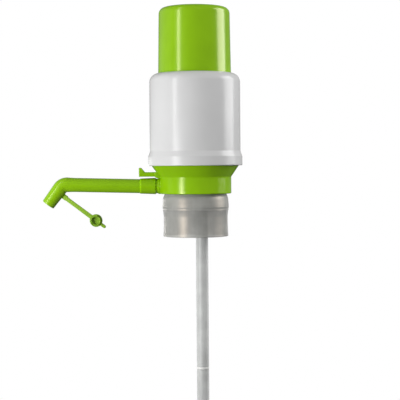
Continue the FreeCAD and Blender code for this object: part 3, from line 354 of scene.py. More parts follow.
def rubbery(name, tint, roughness, dust=0.12):
    """Rubber or silicone: fine pores and a little pale dust."""
    finish = Finish(name)
    pores = finish.noise(2400, 3)
    patch = finish.between(finish.noise(120, 4), 0.45, 0.8)
    base = finish.mix(patch * dust, tint, (0.5, 0.48, 0.44))
    finish.surface(Base_Color=base, Roughness=roughness + (pores - 0.5) * 0.15,
                   Normal=finish.relief(pores, 0.15, 0.05, 0.15))
    return finish.material


def drawn_steel(name, tint):
    """Drawn wire and turned pins: bright metal with fine lines and dull patches."""
    finish = Finish(name)
    lines = finish.noise(1, 2, finish.stretched(9000, 400, 9000))
    dull = finish.between(finish.noise(300, 3), 0.5, 0.8)
    finish.surface(Base_Color=finish.mix(dull * 0.35, tint, shade(tint, 0.6)), Metallic=1.0,
                   Roughness=0.22 + dull * 0.2 + (lines - 0.5) * 0.12,
                   Normal=finish.relief(lines, 0.08, 0.02, 0.1))
    return finish.material


def finishes():
    """What makes each finish of the pump, by the finish's name."""
    tints = bpy.context.scene.pump_colours
    tint = {name: tuple(getattr(tints, name)) for name in PumpColours.__annotations__}
    gloss = {"Specular_IOR_Level": 0.56, "Specular_Tint": (1.0, 0.88, 0.62, 1.0)}
    cap_gloss = {**gloss, "Specular_IOR_Level": 0.68}
    spout_gloss = {**gloss, "Specular_IOR_Level": 0.75}
    return {
        "lime": lambda: moulded("lime_moulding", tint["lime"], 0.135, peel=0.012, **gloss),
        # The sleeve's finish carries a painted highlight: a paler band painted at its outer end.
        "lime_sleeve": lambda: moulded("lime_sleeve_moulding", tint["lime"], 0.135, peel=0.012,
                                       painted_highlight_x=SLEEVE_END_X + 1.5, **gloss),
        "lime_cap": lambda: moulded("lime_cap_moulding", tint["lime"], 0.20,
                                    scuffed=(SHELL_TOP_Z - 6, SHELL_TOP_Z + CAP_TRAVEL),
                                    **cap_gloss),
        "lime_spout": lambda: moulded("lime_spout_moulding", tint["lime"], 0.22, peel=0.012,
                                      edge=0.08, seam=True, **spout_gloss),
        "soft_lime": lambda: moulded("lime_strap_moulding", tint["soft_lime"], 0.46, swing=0.09,
                                     peel=0.04, edge=0.08, **gloss),
        "shell": lambda: moulded("shell_moulding", tint["shell"], 0.222, swing=0.025, peel=0.035,
                                 Specular_IOR_Level=0.36),
        "inner": lambda: moulded("white_moulding", tint["inner"], 0.42, swing=0.03, peel=0.08),
        "skirt": lambda: milky("milky_skirt", tint["skirt"], 0.56, 0.76, 0.345,
                               [(SKIRT_Z - 2, SKIRT_Z + 2.5), (GASKET_Z - 0.5, FLOOR_Z + 2)],
                               Specular_IOR_Level=1.0, Specular_Tint=(1.0, 0.82, 0.64, 1.0)),
        "tube": lambda: milky("milky_tube", tint["tube"], 0.55, 0.8, 0.345),
        "rubber": lambda: rubbery("black_seal", tint["rubber"], 0.55),
        "silicone": lambda: rubbery("pale_silicone", tint["silicone"], 0.45, 0.05),
        "bellows": lambda: rubbery("bellows_moulding", shade(tint["silicone"], 0.85), 0.5, 0.08),
        "steel": lambda: drawn_steel("drawn_steel", tint["steel"]),
    }


MADE = {}


def made_finish(name):
    """A finish, made when it is first asked for."""
    if name not in MADE:
        MADE[name] = finishes()[name]()
    return MADE[name]


# ---------------------------------------------------------------- outlines and meshes
def arc(start, end, centre, step):
    """Points of an arc between two points that lie evenly about its centre."""
    first = atan2(*(start - centre).yx)
    turn = (atan2(*(end - centre).yx) - first + pi) % (2 * pi) - pi
    count = max(2, ceil(abs(degrees(turn)) / step))
    radius = (start - centre).length
    angles = (first + turn * index / count for index in range(count + 1))
    return [centre + Vector((cos(angle), sin(angle))) * radius for angle in angles]


def eased(corners, closed=True, step=11.0):
    """Points of an outline whose corners (a, b, radius) are rounded; a corner (a, b) stays. A
    fourth number is the share of the shorter run beside it that the rounding may take."""
    count = len(corners)
    points = []
    for index, corner in enumerate(corners):
        here = Vector(corner[:2])
        if len(corner) < 3 or not closed and index in (0, count - 1):
            points.append(here)
            continue
        back = Vector(corners[index - 1][:2]) - here
        ahead = Vector(corners[(index + 1) % count][:2]) - here
        half = back.angle(ahead) / 2
        share = corner[3] if len(corner) > 3 else 0.49
        room = share * min(back.length, ahead.length)
        setback = min(corner[2] / tan(half), room)
        back.normalize()
        ahead.normalize()
        start, end = here + back * setback, here + ahead * setback
        rounding = arc(start, end, here + (back + ahead).normalized() * (setback / cos(half)), step)
        if room - setback > HOLD:
            rounding = [start + back * HOLD, *rounding, end + ahead * HOLD]
        points += rounding
    return points


def evenly(start, stop, count):
    """Evenly spaced numbers, both ends included."""
    return [start + (stop - start) * index / count for index in range(count + 1)]


def off_third(angle):
    """Angle from the nearest of the three even directions."""
    return min(abs((angle - third + pi) % (2 * pi) - pi) for third in THIRDS)


def beside_thirds(edge, gap=0.001):
    """Angles just inside and just outside an edge, on both sides of each even direction."""
    return [third + side * (edge + more) for third in THIRDS
            for side in (-1, 1) for more in (-gap, gap)]


def upright(x=0.0, y=0.0):
    """Places a turned outline's (radius, height) about a vertical axis."""
    return lambda radius, height, angle: Vector((x + radius * cos(angle),
                                                 y + radius * sin(angle), height))


def on_duct(radius, x, angle):
    """Places a turned outline's (radius, x) about the duct's axis."""
    return Vector((x, radius * cos(angle), DUCT_Z + radius * sin(angle)))


def sideways(x, z):
    """Places a turned outline's (radius, y) about an axis along Y."""
    return lambda radius, y, angle: Vector((x + radius * cos(angle), y, z + radius * sin(angle)))


def turned(points, place, sides, reach=None, turns=()):
    """Mesh of a closed outline of (radius, along) points turned about an axis. Reach changes a
    point's radius by angle; turns are further angles that get a row of vertices."""
    angles = sorted({2 * pi * index / sides for index in range(sides)}
                    | {angle % (2 * pi) for angle in turns})
    mesh = bmesh.new()
    rings = []
    for radius, along in points:
        if radius < 1e-6:
            rings.append([mesh.verts.new(place(0, along, 0) * MM)] * len(angles))
            continue
        ring = []
        for angle in angles:
            out = reach(radius, along, angle) if reach else radius
            ring.append(mesh.verts.new(place(out, along, angle) * MM))
        rings.append(ring)
    for ring, after in zip(rings, rings[1:] + rings[:1]):
        for index in range(len(angles)):
            following = (index + 1) % len(angles)
            corners = list(dict.fromkeys(
                (ring[index], ring[following], after[following], after[index])))
            if len(corners) > 2:
                mesh.faces.new(corners)
    bmesh.ops.recalc_face_normals(mesh, faces=mesh.faces)
    return mesh


def round_over(mesh, edges, radius, segments=3):
    """Rounds edges of a mesh."""
    bmesh.ops.bevel(mesh, geom=edges, offset=radius * MM, segments=segments, profile=0.5,
                    affect="EDGES", clamp_overlap=True)


def slab(points, low, high, edge=0.0):
    """Mesh of a flat (x, z) outline given thickness from y low to high, with its rims eased."""
    mesh = bmesh.new()
    bottom, top = ([mesh.verts.new(Vector((x, y, z)) * MM) for x, z in points]
                   for y in (low, high))
    rims = [mesh.faces.new(bottom), mesh.faces.new(top)]
    for index in range(len(points)):
        following = (index + 1) % len(points)
        mesh.faces.new([bottom[index], bottom[following], top[following], top[index]])
    bmesh.ops.recalc_face_normals(mesh, faces=mesh.faces)
    if edge:
        round_over(mesh, [rim_edge for rim in rims for rim_edge in rim.edges], edge)
    return mesh


def block(x_low, x_high, y_low, y_high, z_low, z_high, edge=0.0):
    """Mesh of a box with eased edges."""
    corners = [(x_low, z_low), (x_high, z_low), (x_high, z_high), (x_low, z_high)]
    mesh = slab(corners, y_low, y_high)
    if edge:
        round_over(mesh, mesh.edges, edge)
    return mesh


def rod(place, radius, low, high, edge=0.0, sides=32):
    """Mesh of a cylinder with eased rims."""
    rim = (edge,) if edge else ()
    corners = [(0, low), (radius, low, *rim), (radius, high, *rim), (0, high)]
    return turned(eased(corners, closed=False), place, sides)


def swept(path, radius, sides):
    """Mesh of a round wire along points, with closed ends."""
    mesh = bmesh.new()
    rings = []
    side = None
    for index, point in enumerate(path):
        ahead = (path[min(index + 1, len(path) - 1)] - path[max(index - 1, 0)]).normalized()
        side = ahead.orthogonal() if side is None else side - ahead * side.dot(ahead)
        side.normalize()
        up = ahead.cross(side)
        rings.append([mesh.verts.new((point + (side * cos(2 * pi * k / sides)
                                               + up * sin(2 * pi * k / sides)) * radius) * MM)
                      for k in range(sides)])
    for ring, after in zip(rings, rings[1:]):
        for k in range(sides):
            mesh.faces.new([ring[k], ring[(k + 1) % sides], after[(k + 1) % sides], after[k]])
    mesh.faces.new(rings[0][::-1])
    mesh.faces.new(rings[-1])
    bmesh.ops.recalc_face_normals(mesh, faces=mesh.faces)
    return mesh


def placed(name, mesh):
    """Puts a mesh in the scene as a bare object."""
    data = bpy.data.meshes.new(name)
    mesh.to_mesh(data)
    mesh.free()
    made = bpy.data.objects.new(name, data)
    bpy.context.scene.collection.objects.link(made)
    return made


def combined(mesh, *steps):
    """Mesh after boolean steps, each an operation and its meshes, such as ("UNION", lug)."""
    held = placed("work", mesh)
    tools = []
    for operation, *others in steps:
        for other in others:
            tool = placed("work", other)
            tools.append(tool)
            modifier = held.modifiers.new("step", "BOOLEAN")
            modifier.operation = operation
            modifier.solver = "EXACT"
            modifier.object = tool
    graph = bpy.context.evaluated_depsgraph_get()
    data = bpy.data.meshes.new_from_object(held.evaluated_get(graph), depsgraph=graph)
    result = bmesh.new()
    result.from_mesh(data)
    bmesh.ops.remove_doubles(result, verts=result.verts, dist=2e-6)
    bmesh.ops.dissolve_degenerate(result, edges=result.edges, dist=2e-6)
    for used in [held, *tools]:
        bpy.data.objects.remove(used)
    return result


def piece(name, mesh, look, body, slot, *nodes):
    """Puts a finished mesh in the scene as a piece that rides on a body and stands for nodes."""
    made = placed(name, mesh)
    made.data.shade_smooth()
    made.data.set_sharp_from_angle(angle=SHARP)
    made.data.materials.append(made_finish(look))
    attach(made, body)
    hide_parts(*nodes)
    return made


# ---------------------------------------------------------------- cap, shell and collar
class PUMP_OT_press_cap(bpy.types.Operator):
    """Tall green cap: a drafted cup with a rounded rim, a slight crown and a notched flange"""
    bl_idname = "pump.press_cap"
    bl_label = "Press cap"
    bl_options = {"REGISTER", "UNDO"}

    def execute(self, context):
        size = sizes()
        wall = size.cap_wall
        rim_z = CAP_PEAK_Z - size.cap_crown
        roof = rim_z - wall
        flange = span("press_cap", 1)[1]
        flange_top = CAP_Z + 2.3
        boss_in, boss_out, boss_z = 6.0, 8.0, roof - 1.5
        notch_floor = size.shell - size.shell_wall - (RIB + SLIDE_FIT)
        notch_half = RIB_HALF + SLIDE_FIT
        corners = [
            (size.cap_foot - wall, CAP_Z, 0.3), (flange, CAP_Z, 0.4), (flange, flange_top, 0.4),
            (size.cap_foot, flange_top), (size.cap_top, rim_z, size.cap_rim),
            (size.cap_top * 0.45, rim_z + size.cap_crown * 0.8, 40), (0, CAP_PEAK_Z),
            (0, roof), (boss_in, roof), (boss_in, boss_z, 0.3), (boss_out, boss_z, 0.3),
            (boss_out, roof), (size.cap_top - wall, roof, 2.0),
        ]

        def notched(radius, height, angle):
            off = off_third(angle)
            if height > flange_top + 0.1 or radius < notch_floor or radius * sin(off) > notch_half:
                return radius
            return notch_floor / cos(off)

        turns = beside_thirds(notch_half / flange)
        mesh = turned(eased(corners), upright(), 160, notched, turns)
        piece("press_cap_body", mesh, "lime_cap", "press_cap", "lime_plastic", "press_cap")
        return {"FINISHED"}


class PUMP_OT_body_shell(bpy.types.Operator):
    """Grey-white shell: rounded shoulder, guide sleeve at the mouth, ribs inside and a band"""
    bl_idname = "pump.body_shell"
    bl_label = "Body shell"
    bl_options = {"REGISTER", "UNDO"}

    def execute(self, context):
        size = sizes()
        bore = size.shell - size.shell_wall
        seat = size.funnel + 0.2
        roof = SHELL_TOP_Z - size.shell_wall
        sleeve, sleeve_z = size.shell_mouth + 1.6, SHELL_TOP_Z - 17.8
        band_top = SHELL_Z + size.band_height
        rib_low, rib_high, rib_end = CAP_Z - CAP_TRAVEL, sleeve_z - 0.3, 0.05
        corners = [
            (seat, SHELL_Z, 0.3), (size.band, SHELL_Z, 0.8), (size.band, band_top, 1.2),
            (size.shell, band_top + size.band_slope, 1.6),
            (size.shell, SHELL_TOP_Z - size.shell_fall, size.shell_shoulder, 0.85),
            (size.shell_mouth, SHELL_TOP_Z, 0.6), (size.shell_mouth, sleeve_z, 0.4),
            (sleeve, sleeve_z, 0.4), (sleeve, roof, 1.0), (bore, roof, 3.5),
            (bore, rib_high + rib_end), (bore, rib_high), (bore, rib_low),
            (bore, rib_low - rib_end), (bore, RING_TOP_Z), (seat, RING_TOP_Z),
        ]
        near = 1e-3

        def ribbed(radius, height, angle):
            off = off_third(angle)
            if (abs(radius - bore) > near or not rib_low - near <= height <= rib_high + near
                    or radius * sin(off) > RIB_HALF):
                return radius
            return (bore - RIB) / cos(off)

        turns = beside_thirds(RIB_HALF / bore)
        mesh = turned(eased(corners), upright(), 176, ribbed, turns)
        piece("shell_body", mesh, "shell", "base", "shell_plastic", "body_shell")
        return {"FINISHED"}


class PUMP_OT_base_collar(bpy.types.Operator):
    """Green collar: funnel, straight part, outlet boss, ears for the lever's pin and posts"""
    bl_idname = "pump.base_collar"
    bl_label = "Base collar"
    bl_options = {"REGISTER", "UNDO"}

    def execute(self, context):
        size = sizes()
        ledge_z = PLATE_TOP_Z - 2.5
        bore = 4.0
        face_x = -(size.collar + 3.1)
        root_x = -(size.collar - size.collar_wall * 0.7)
        ear_in = size.lever_width / 2 + 0.7
        window_in, window_low, window_high = -size.collar + 4.4, PIN_Z - 2.1, PIN_Z + 4.1
        window = block(-size.funnel - 1, window_in, -ear_in, ear_in, window_low, window_high)
        boss = self.boss(size, bore, face_x, root_x)
        ears = self.ears(ear_in, root_x)
        posts, pilots = self.posts(ledge_z)
        outlet = rod(on_duct, bore, face_x - 1.1, root_x + 4, sides=72)
        pin_hole = rod(sideways(PIN_X, PIN_Z), AXLE + 0.02, -PAST, PAST)
        mesh = combined(self.ring(size, ledge_z), ("DIFFERENCE", window),
                        ("UNION", boss, *ears, *posts),
                        ("DIFFERENCE", outlet, pin_hole, *pilots))
        piece("collar_body", mesh, "lime", "base", "lime_plastic", "base_collar")
        return {"FINISHED"}

    @staticmethod
    def ring(size, ledge_z):
        """The collar's turned body, from its threaded neck up to the ring in the shell."""
        neck, neck_bore, floor_top = 20.0, 17.8, FLOOR_Z + 2.0
        funnel_z = FLOOR_Z + size.collar_height
        inner = size.collar - size.collar_wall
        lip = size.funnel - 2.0
        return turned(eased([
            (neck_bore, NECK_Z, 0.3), (neck, NECK_Z, 0.5), (neck, FLOOR_Z, 0.4),
            (size.collar, FLOOR_Z, 0.9), (size.collar, funnel_z, 1.6), (size.funnel, SHELL_Z, 0.4),
            (size.funnel, RING_TOP_Z, 0.5), (lip, RING_TOP_Z, 0.3), (lip, ledge_z),
            (lip - 1.5, ledge_z, 0.3), (inner, funnel_z, 2.0), (inner, floor_top, 1.0),
            (neck_bore, floor_top, 0.3),
        ]), upright(), 176)

    @staticmethod
    def boss(size, bore, face_x, root_x):
        """The outlet's boss, cut level with the collar's floor."""
        waist, waist_x = size.boss - 1.2, face_x + 1.9
        outline = [(bore, root_x), (bore, face_x), (waist, face_x, 0.3), (waist, waist_x, 0.3),
                   (size.boss, waist_x, 0.9), (size.boss, root_x)]
        spare, half, tall = 5, 20, 30
        room = block(face_x - spare, root_x + spare, -half, half, FLOOR_Z, FLOOR_Z + tall)
        return combined(turned(eased(outline, step=8), on_duct, 72), ("INTERSECT", room))

    @staticmethod
    def ears(ear_in, root_x):
        """The two ears that hold the lever's pin."""
        wall, radius, foot_z = 2.0, 2.8, LEVER_Z - 1.5
        front = PIN_X - radius
        ear = eased([(root_x, foot_z), (front + 2.2, foot_z, 0.5), (front, LEVER_Z, 1.0),
                     (front, PIN_Z + radius, 2.5), (root_x, PIN_Z + radius)])
        return [slab(ear, *sorted((side * ear_in, side * (ear_in + wall))), 0.3)
                for side in (-1, 1)]

    @staticmethod
    def posts(ledge_z):
        """The three posts for the plate's screws, and the tools for their holes."""
        circle, post, pilot, depth = 26.8, 3.4, 1.3, 12
        spots = [upright(circle * cos(third), circle * sin(third)) for third in THIRDS]
        return ([rod(spot, post, FLOOR_Z + 1, ledge_z) for spot in spots],
                [rod(spot, pilot, PLATE_TOP_Z - depth, ledge_z + 1, sides=24) for spot in spots])


# ---------------------------------------------------------------- spout and stopper
RISE = radians(1.5)        # of the spout's long leg
DROP = radians(53.0)       # of its short leg, below level
BEND = 7.4                 # radius of its axis at the bend
LEG = Vector((-cos(RISE), 0, sin(RISE)))
FALL = Vector((-cos(DROP), 0, -sin(DROP)))
UNDER = Vector((-sin(RISE), 0, -cos(RISE)))    # at right angles to the long leg, downwards
SPOUT_X = SLEEVE_END_X - 0.3
LUG = 2.3                  # radius of the lug's round end
PEG = 0.85                 # radius of the strap's peg
PEG_Z = -8.0               # from the corner down the short leg to the peg


def spout_corner(size):
    """Where the axes of the spout's two legs meet."""
    return Vector((SPOUT_X, 0, DUCT_Z)) + LEG * size.spout_reach


def spout_line(size):
    """Place function along the spout's bent axis, and how far along it the bend starts, the bend
    ends and the tip lies."""
    turn = RISE + DROP
    tangent = BEND * tan(turn / 2)
    start = size.spout_reach - tangent
    end = start + BEND * turn
    corner = spout_corner(size)
    centre = corner - LEG * tangent + UNDER * BEND

    def place(radius, along, angle):
        if along <= 0:
            origin, ahead = Vector((SPOUT_X - along, 0, DUCT_Z)), Vector((-1, 0, 0))
        elif along <= start:
            origin, ahead = Vector((SPOUT_X, 0, DUCT_Z)) + LEG * along, LEG
        elif along < end:
            bent = Matrix.Rotation((start - along) / BEND, 3, "Y")
            origin, ahead = centre - bent @ (UNDER * BEND), bent @ LEG
        else:
            origin, ahead = corner + FALL * (tangent + along - end), FALL
        across = Vector((0, 1, 0))
        return origin + (across * cos(angle) + ahead.cross(across) * sin(angle)) * radius

    return place, start, end, end + size.spout_drop - tangent


def at_elbow(mesh, size):
    """Moves a mesh from the elbow's frame, whose -Z runs along the short leg, into place."""
    turn = Matrix.Rotation(pi / 2 - DROP, 4, "Y")
    move = Matrix.Translation(spout_corner(size) * MM)
    bmesh.ops.transform(mesh, matrix=move @ turn, verts=mesh.verts)
    return mesh


def peg_place(size):
    """The strap's peg in the elbow's frame."""
    return size.spout_bend + LUG + 0.3, PEG_Z


class PUMP_OT_spout(bpy.types.Operator):
    """Bent green spout with its spigot, its smooth bore and the lug that holds the stopper"""
    bl_idname = "pump.spout"
    bl_label = "Spout"
    bl_options = {"REGISTER", "UNDO"}

    def execute(self, context):
        size = sizes()
        lug, hole = self.lug(size)
        mesh = combined(self.tube(size), ("UNION", lug), ("DIFFERENCE", hole))
        piece("spout_body", mesh, "lime_spout", "spout", "lime_plastic", "spout_tube")
        return {"FINISHED"}

    @staticmethod
    def tube(size):
        """The bent tube, with its spigot and the groove for the seal."""
        place, start, end, tip = spout_line(size)
        spigot, spigot_end, groove, seal = 4.5, -12.2, 3.8, -8.2
        seal_low, seal_high = seal - SEAL_HALF, seal + SEAL_HALF
        play = 0.12
        face = SPOUT_X + play - SLEEVE_END_X
        bore_in, bore_leg, bore_tip = 3.2, 3.6, size.spout_tip - 1.5
        bend = evenly(start, end, 14)
        return turned(eased([
            (bore_in, spigot_end, 0.3), (spigot, spigot_end, 0.4), (spigot, seal_low),
            (groove, seal_low), (groove, seal_high), (spigot, seal_high), (spigot, face),
            (size.spout_root, face, 0.15), (size.spout_root, start - 7.0),
            (size.spout_root + 0.08, start - 5.0), *((size.spout_bend, along) for along in bend),
            (size.spout_tip, tip, 0.55), (bore_tip, tip, 0.3),
            *((bore_tip, along) for along in reversed(bend)), (bore_leg, 0.0), (bore_in, -1.0),
        ]), place, 72)

    @staticmethod
    def lug(size):
        """The lug under the bend, and the tool for the hole that takes the stopper's peg."""
        half = 0.8
        root_x = size.spout_tip - 0.5
        peg_x, peg_z = peg_place(size)
        rim = [(peg_x + LUG * sin(turn), peg_z - LUG * cos(turn)) for turn in evenly(0, pi, 14)]
        outline = [(root_x, peg_z - LUG), *rim, (root_x, peg_z + LUG)]
        return (at_elbow(slab(outline, -half, half, 0.25), size),
                at_elbow(rod(sideways(peg_x, peg_z), PEG + 0.1, -2, 2), size))


class PUMP_OT_coupling(bpy.types.Operator):
    """Green sleeve that the spout turns in, with the spigot that goes into the pump"""
    bl_idname = "pump.coupling"
    bl_label = "Spout coupling"
    bl_options = {"REGISTER", "UNDO"}

    def execute(self, context):
        size = sizes()
        spigot, groove, bore, socket = 3.9, 3.2, 2.6, 4.6
        root_x, stop_x = SLEEVE_END_X + 14.6, SLEEVE_END_X + 12.6
        seal = COUPLING_END_X - 3.5
        corners = [
            (bore, COUPLING_END_X, 0.2), (spigot, COUPLING_END_X, 0.4), (spigot, seal + SEAL_HALF),
            (groove, seal + SEAL_HALF), (groove, seal - SEAL_HALF), (spigot, seal - SEAL_HALF),
            (spigot, root_x), (size.sleeve + size.sleeve_flare, root_x, 0.6),
            (size.sleeve, SLEEVE_END_X, 0.7), (socket, SLEEVE_END_X, 0.25), (socket, stop_x),
            (bore, stop_x),
        ]
        mesh = turned(eased(corners), on_duct, 96)
        # Its finish paints a highlight: a paler band at the sleeve's outer end.
        piece("coupling_body", mesh, "lime_sleeve", "base", "lime_plastic", "spout_coupling")
        return {"FINISHED"}


class PUMP_OT_stopper(bpy.types.Operator):
    """Soft strap with a snap peg, a hollow plug with a flange, and a pull tab"""
    bl_idname = "pump.stopper"
    bl_label = "Stopper"
    bl_options = {"REGISTER", "UNDO"}

    near, far = -0.9, -2.1     # the strap's faces, along Y

    def execute(self, context):
        size = sizes()
        peg_x, z = peg_place(size)
        plug_x = peg_x + size.strap_length
        outline = [(x, z + across) for x, across in self.outline(size, peg_x, plug_x)]
        strap = slab(outline, self.far, self.near, 0.42)
        plug, bead = self.plug(size, sideways(plug_x, z))
        snap = self.snap(sideways(peg_x, z))
        mesh = combined(strap, ("UNION", plug, bead, snap))
        piece("stopper_body", at_elbow(mesh, size), "soft_lime", "stopper", "lime_soft",
              "stopper_strap")
        return {"FINISHED"}

    @staticmethod
    def outline(size, peg_x, plug_x):
        """The strap from its peg to its tab: one side, and the same mirrored."""
        half, tab_half = size.strap_width / 2, 1.45
        flange = size.plug_flange
        join = plug_x - (flange ** 2 - half ** 2) ** 0.5
        leave = plug_x + (flange ** 2 - tab_half ** 2) ** 0.5
        tab_length, turn_in, turn_out = 10.6, 9, 8
        tab_end = plug_x + tab_length - tab_half
        first = degrees(atan2(half, plug_x - join)) + turn_in
        last = 180 - degrees(atan2(tab_half, flange)) - turn_out

        def round_end(x, radius, angles):
            return [(x - radius * cos(radians(angle)), radius * sin(radians(angle)))
                    for angle in angles]

        upper = [
            *round_end(peg_x, LUG, range(0, 62, 12)), (peg_x + 1.6, half * 0.94, 1.0),
            (peg_x + 6, half * 0.9, 8.0), (join - 0.2, half * 0.95, 1.0),
            *round_end(plug_x, flange, evenly(first, last, 20)), (leave + 0.1, tab_half, 0.8),
            (tab_end, tab_half * 1.02), *round_end(tab_end, tab_half, range(108, 180, 18)),
            (tab_end + tab_half, 0),
        ]
        lower = [(x, -across, *rounding) for x, across, *rounding in upper[-2:0:-1]]
        return eased(upper + lower)

    def plug(self, size, place):
        """The hollow plug, and the bead round its flange."""
        radius = size.spout_tip - 1.6
        root_y, floor_y, open_y = self.near - 0.5, self.far - 0.9, self.far - 4.0
        cup = [(radius - 0.6, open_y, 0.25), (radius, open_y, 0.3), (radius + 0.05, root_y),
               (0, root_y), (0, floor_y), (radius - 0.7, floor_y, 0.8)]
        bead_in, bead_out = size.plug_flange - 0.9, size.plug_flange - 0.15
        low, high = self.far - 0.45, self.far + 0.5
        bead = [(bead_in, low, 0.2), (bead_out, low, 0.3), (bead_out, high), (bead_in, high)]
        return turned(eased(cup), place, 64), turned(eased(bead), place, 64)

    def snap(self, place):
        """The peg, whose head snaps through the lug."""
        head, root_y, head_y, end_y = PEG + 0.4, self.near - 0.6, 0.9, 1.5
        corners = [(0, root_y), (PEG, root_y), (PEG, head_y), (head, head_y, 0.15),
                   (head - 0.2, end_y, 0.2), (0, end_y)]
        return turned(eased(corners, closed=False), place, 32)


# ---------------------------------------------------------------- relief lever
class PUMP_OT_relief_lever(bpy.types.Operator):
    """Rocking lever with an upturned thumb rest and a paddle"""
    bl_idname = "pump.relief_lever"
    bl_label = "Relief lever"
    bl_options = {"REGISTER", "UNDO"}

    def execute(self, context):
        size = sizes()
        half = size.lever_width / 2
        low, high = LEVER_Z, LEVER_Z + size.lever_wall
        tip, rest, rest_foot = SLEEVE_END_X - 0.6, 1.9, 5.2
        rest_z = span("relief_lever", 2)[1]
        paddle_in, paddle_out = SPRING_X - 3.0, SPRING_X + 3.0
        bar_end = paddle_in + 0.5
        corners = [
            (tip, low, 0.6), (tip, rest_z, 0.5), (tip + rest, rest_z, 0.6),
            (tip + rest_foot, high, 1.6), (bar_end, high, 0.5), (bar_end, low, 0.5),
        ]
        bar = slab(eased(corners, step=9), -half, half, 0.45)
        reach = span("relief_lever", 1)[1]
        top, wall = high - 1.2, 2.0
        paddle = block(paddle_in, paddle_out, -reach, reach, top - wall, top, 0.3)
        hole = rod(sideways(PIN_X, PIN_Z), AXLE + 0.05, -PAST, PAST)
        hollow = LEVER_Z - DUCT_Z + 1.0
        channel = rod(on_duct, hollow, tip - 1, PIN_X - 2.8, sides=160)
        mesh = combined(bar, ("UNION", paddle), ("DIFFERENCE", hole, channel))
        piece("lever_body", mesh, "lime", "relief_lever", "lime_plastic", "relief_lever")
        return {"FINISHED"}


class PUMP_OT_relief_pad(bpy.types.Operator):
    """Rubber pad under the lever's paddle, which shuts the relief ports"""
    bl_idname = "pump.relief_pad"
    bl_label = "Relief pad"
    bl_options = {"REGISTER", "UNDO"}

    def execute(self, context):
        x, y, z = (span("relief_pad", axis) for axis in range(3))
        piece("lever_pad", block(*x, *y, *z, 0.35), "rubber", "relief_lever", "black_rubber",
              "relief_pad")
        return {"FINISHED"}


class PUMP_OT_lever_pin(bpy.types.Operator):
    """Pin that the lever rocks on"""
    bl_idname = "pump.lever_pin"
    bl_label = "Lever pin"
    bl_options = {"REGISTER", "UNDO"}

    def execute(self, context):
        pin = rod(sideways(PIN_X, PIN_Z), AXLE, -PIN_END_Y, PIN_END_Y, 0.2, 40)
        piece("lever_axle", pin, "lime", "base", "lime_plastic", "lever_pin")
        return {"FINISHED"}


class PUMP_OT_relief_spring(bpy.types.Operator):
    """Coil spring with closed ends, between the lever's paddle and the valve plate"""
    bl_idname = "pump.relief_spring"
    bl_label = "Relief spring"
    bl_options = {"REGISTER", "UNDO"}

    def execute(self, context):
        wire, radius, coils, flat = 0.3, 2.2, 4.0, 0.75
        bottom, top = SPRING_Z + wire, SPRING_TOP_Z - wire
        path = []
        for share in evenly(0, 1, 160):
            turn = share * (coils + 2 * flat)
            lift = min(1.0, max(0.0, (turn - flat) / coils))
            angle = 2 * pi * turn
            path.append(Vector((SPRING_X + radius * cos(angle), radius * sin(angle),
                                bottom + (top - bottom) * lift)))
        spring = piece("lever_spring", swept(path, wire, 12), "steel", "base", "steel",
                       "relief_spring")
        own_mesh(spring)
        return {"FINISHED"}


# ---------------------------------------------------------------- neck, dip tube and bellows
ROOF_BORE = 20.3           # radius of the hole in the skirt's roof, and of the gasket's


class PUMP_OT_neck_adaptor(bpy.types.Operator):
    """Milky skirt that grips the jug's crown"""
    bl_idname = "pump.neck_adaptor"
    bl_label = "Neck adaptor"
    bl_options = {"REGISTER", "UNDO"}

    def execute(self, context):
        size = sizes()
        bulge = size.skirt_bulge
        corners = [
            (size.crown, SKIRT_Z, 0.4), (size.skirt + 0.4, SKIRT_Z, 0.5),
            (size.skirt, SKIRT_Z + 11, 8.0), (size.skirt, GASKET_Z - 6, 8.0),
            (bulge - 0.5, GASKET_Z - 1.0), (bulge - 0.16, GASKET_Z - 0.3, 0.3),
            (bulge - 0.3, GASKET_Z + 0.4), (bulge - 0.12, GASKET_Z + 1.8),
            (bulge + 0.1, GASKET_Z + 2.4, 0.3), (bulge, GASKET_Z + 3.1), (bulge, GASKET_Z + 4, 8.0),
            (bulge - 0.5, FLOOR_Z - 3.7, 8.0), (bulge - 2.1, FLOOR_Z, 0.8),
            (ROOF_BORE, FLOOR_Z, 0.3), (ROOF_BORE, NUT_TOP_Z, 0.3), (size.crown, NUT_TOP_Z, 2.0),
        ]
        mesh = turned(eased(corners), upright(), 160)
        piece("adaptor_skirt", mesh, "skirt", "base", "clear_skirt", "neck_adaptor")
        return {"FINISHED"}


class PUMP_OT_neck_gasket(bpy.types.Operator):
    """Flat gasket that seals on the jug's lip"""
    bl_idname = "pump.neck_gasket"
    bl_label = "Neck gasket"
    bl_options = {"REGISTER", "UNDO"}

    def execute(self, context):
        size = sizes()
        rim = size.crown - 0.2
        corners = [(ROOF_BORE, GASKET_Z, 0.4), (rim, GASKET_Z, 0.6), (rim, GASKET_TOP_Z, 0.6),
                   (ROOF_BORE, GASKET_TOP_Z, 0.4)]
        piece("lip_gasket", turned(eased(corners), upright(), 128), "silicone", "base",
              "soft_seal", "neck_gasket")
        return {"FINISHED"}


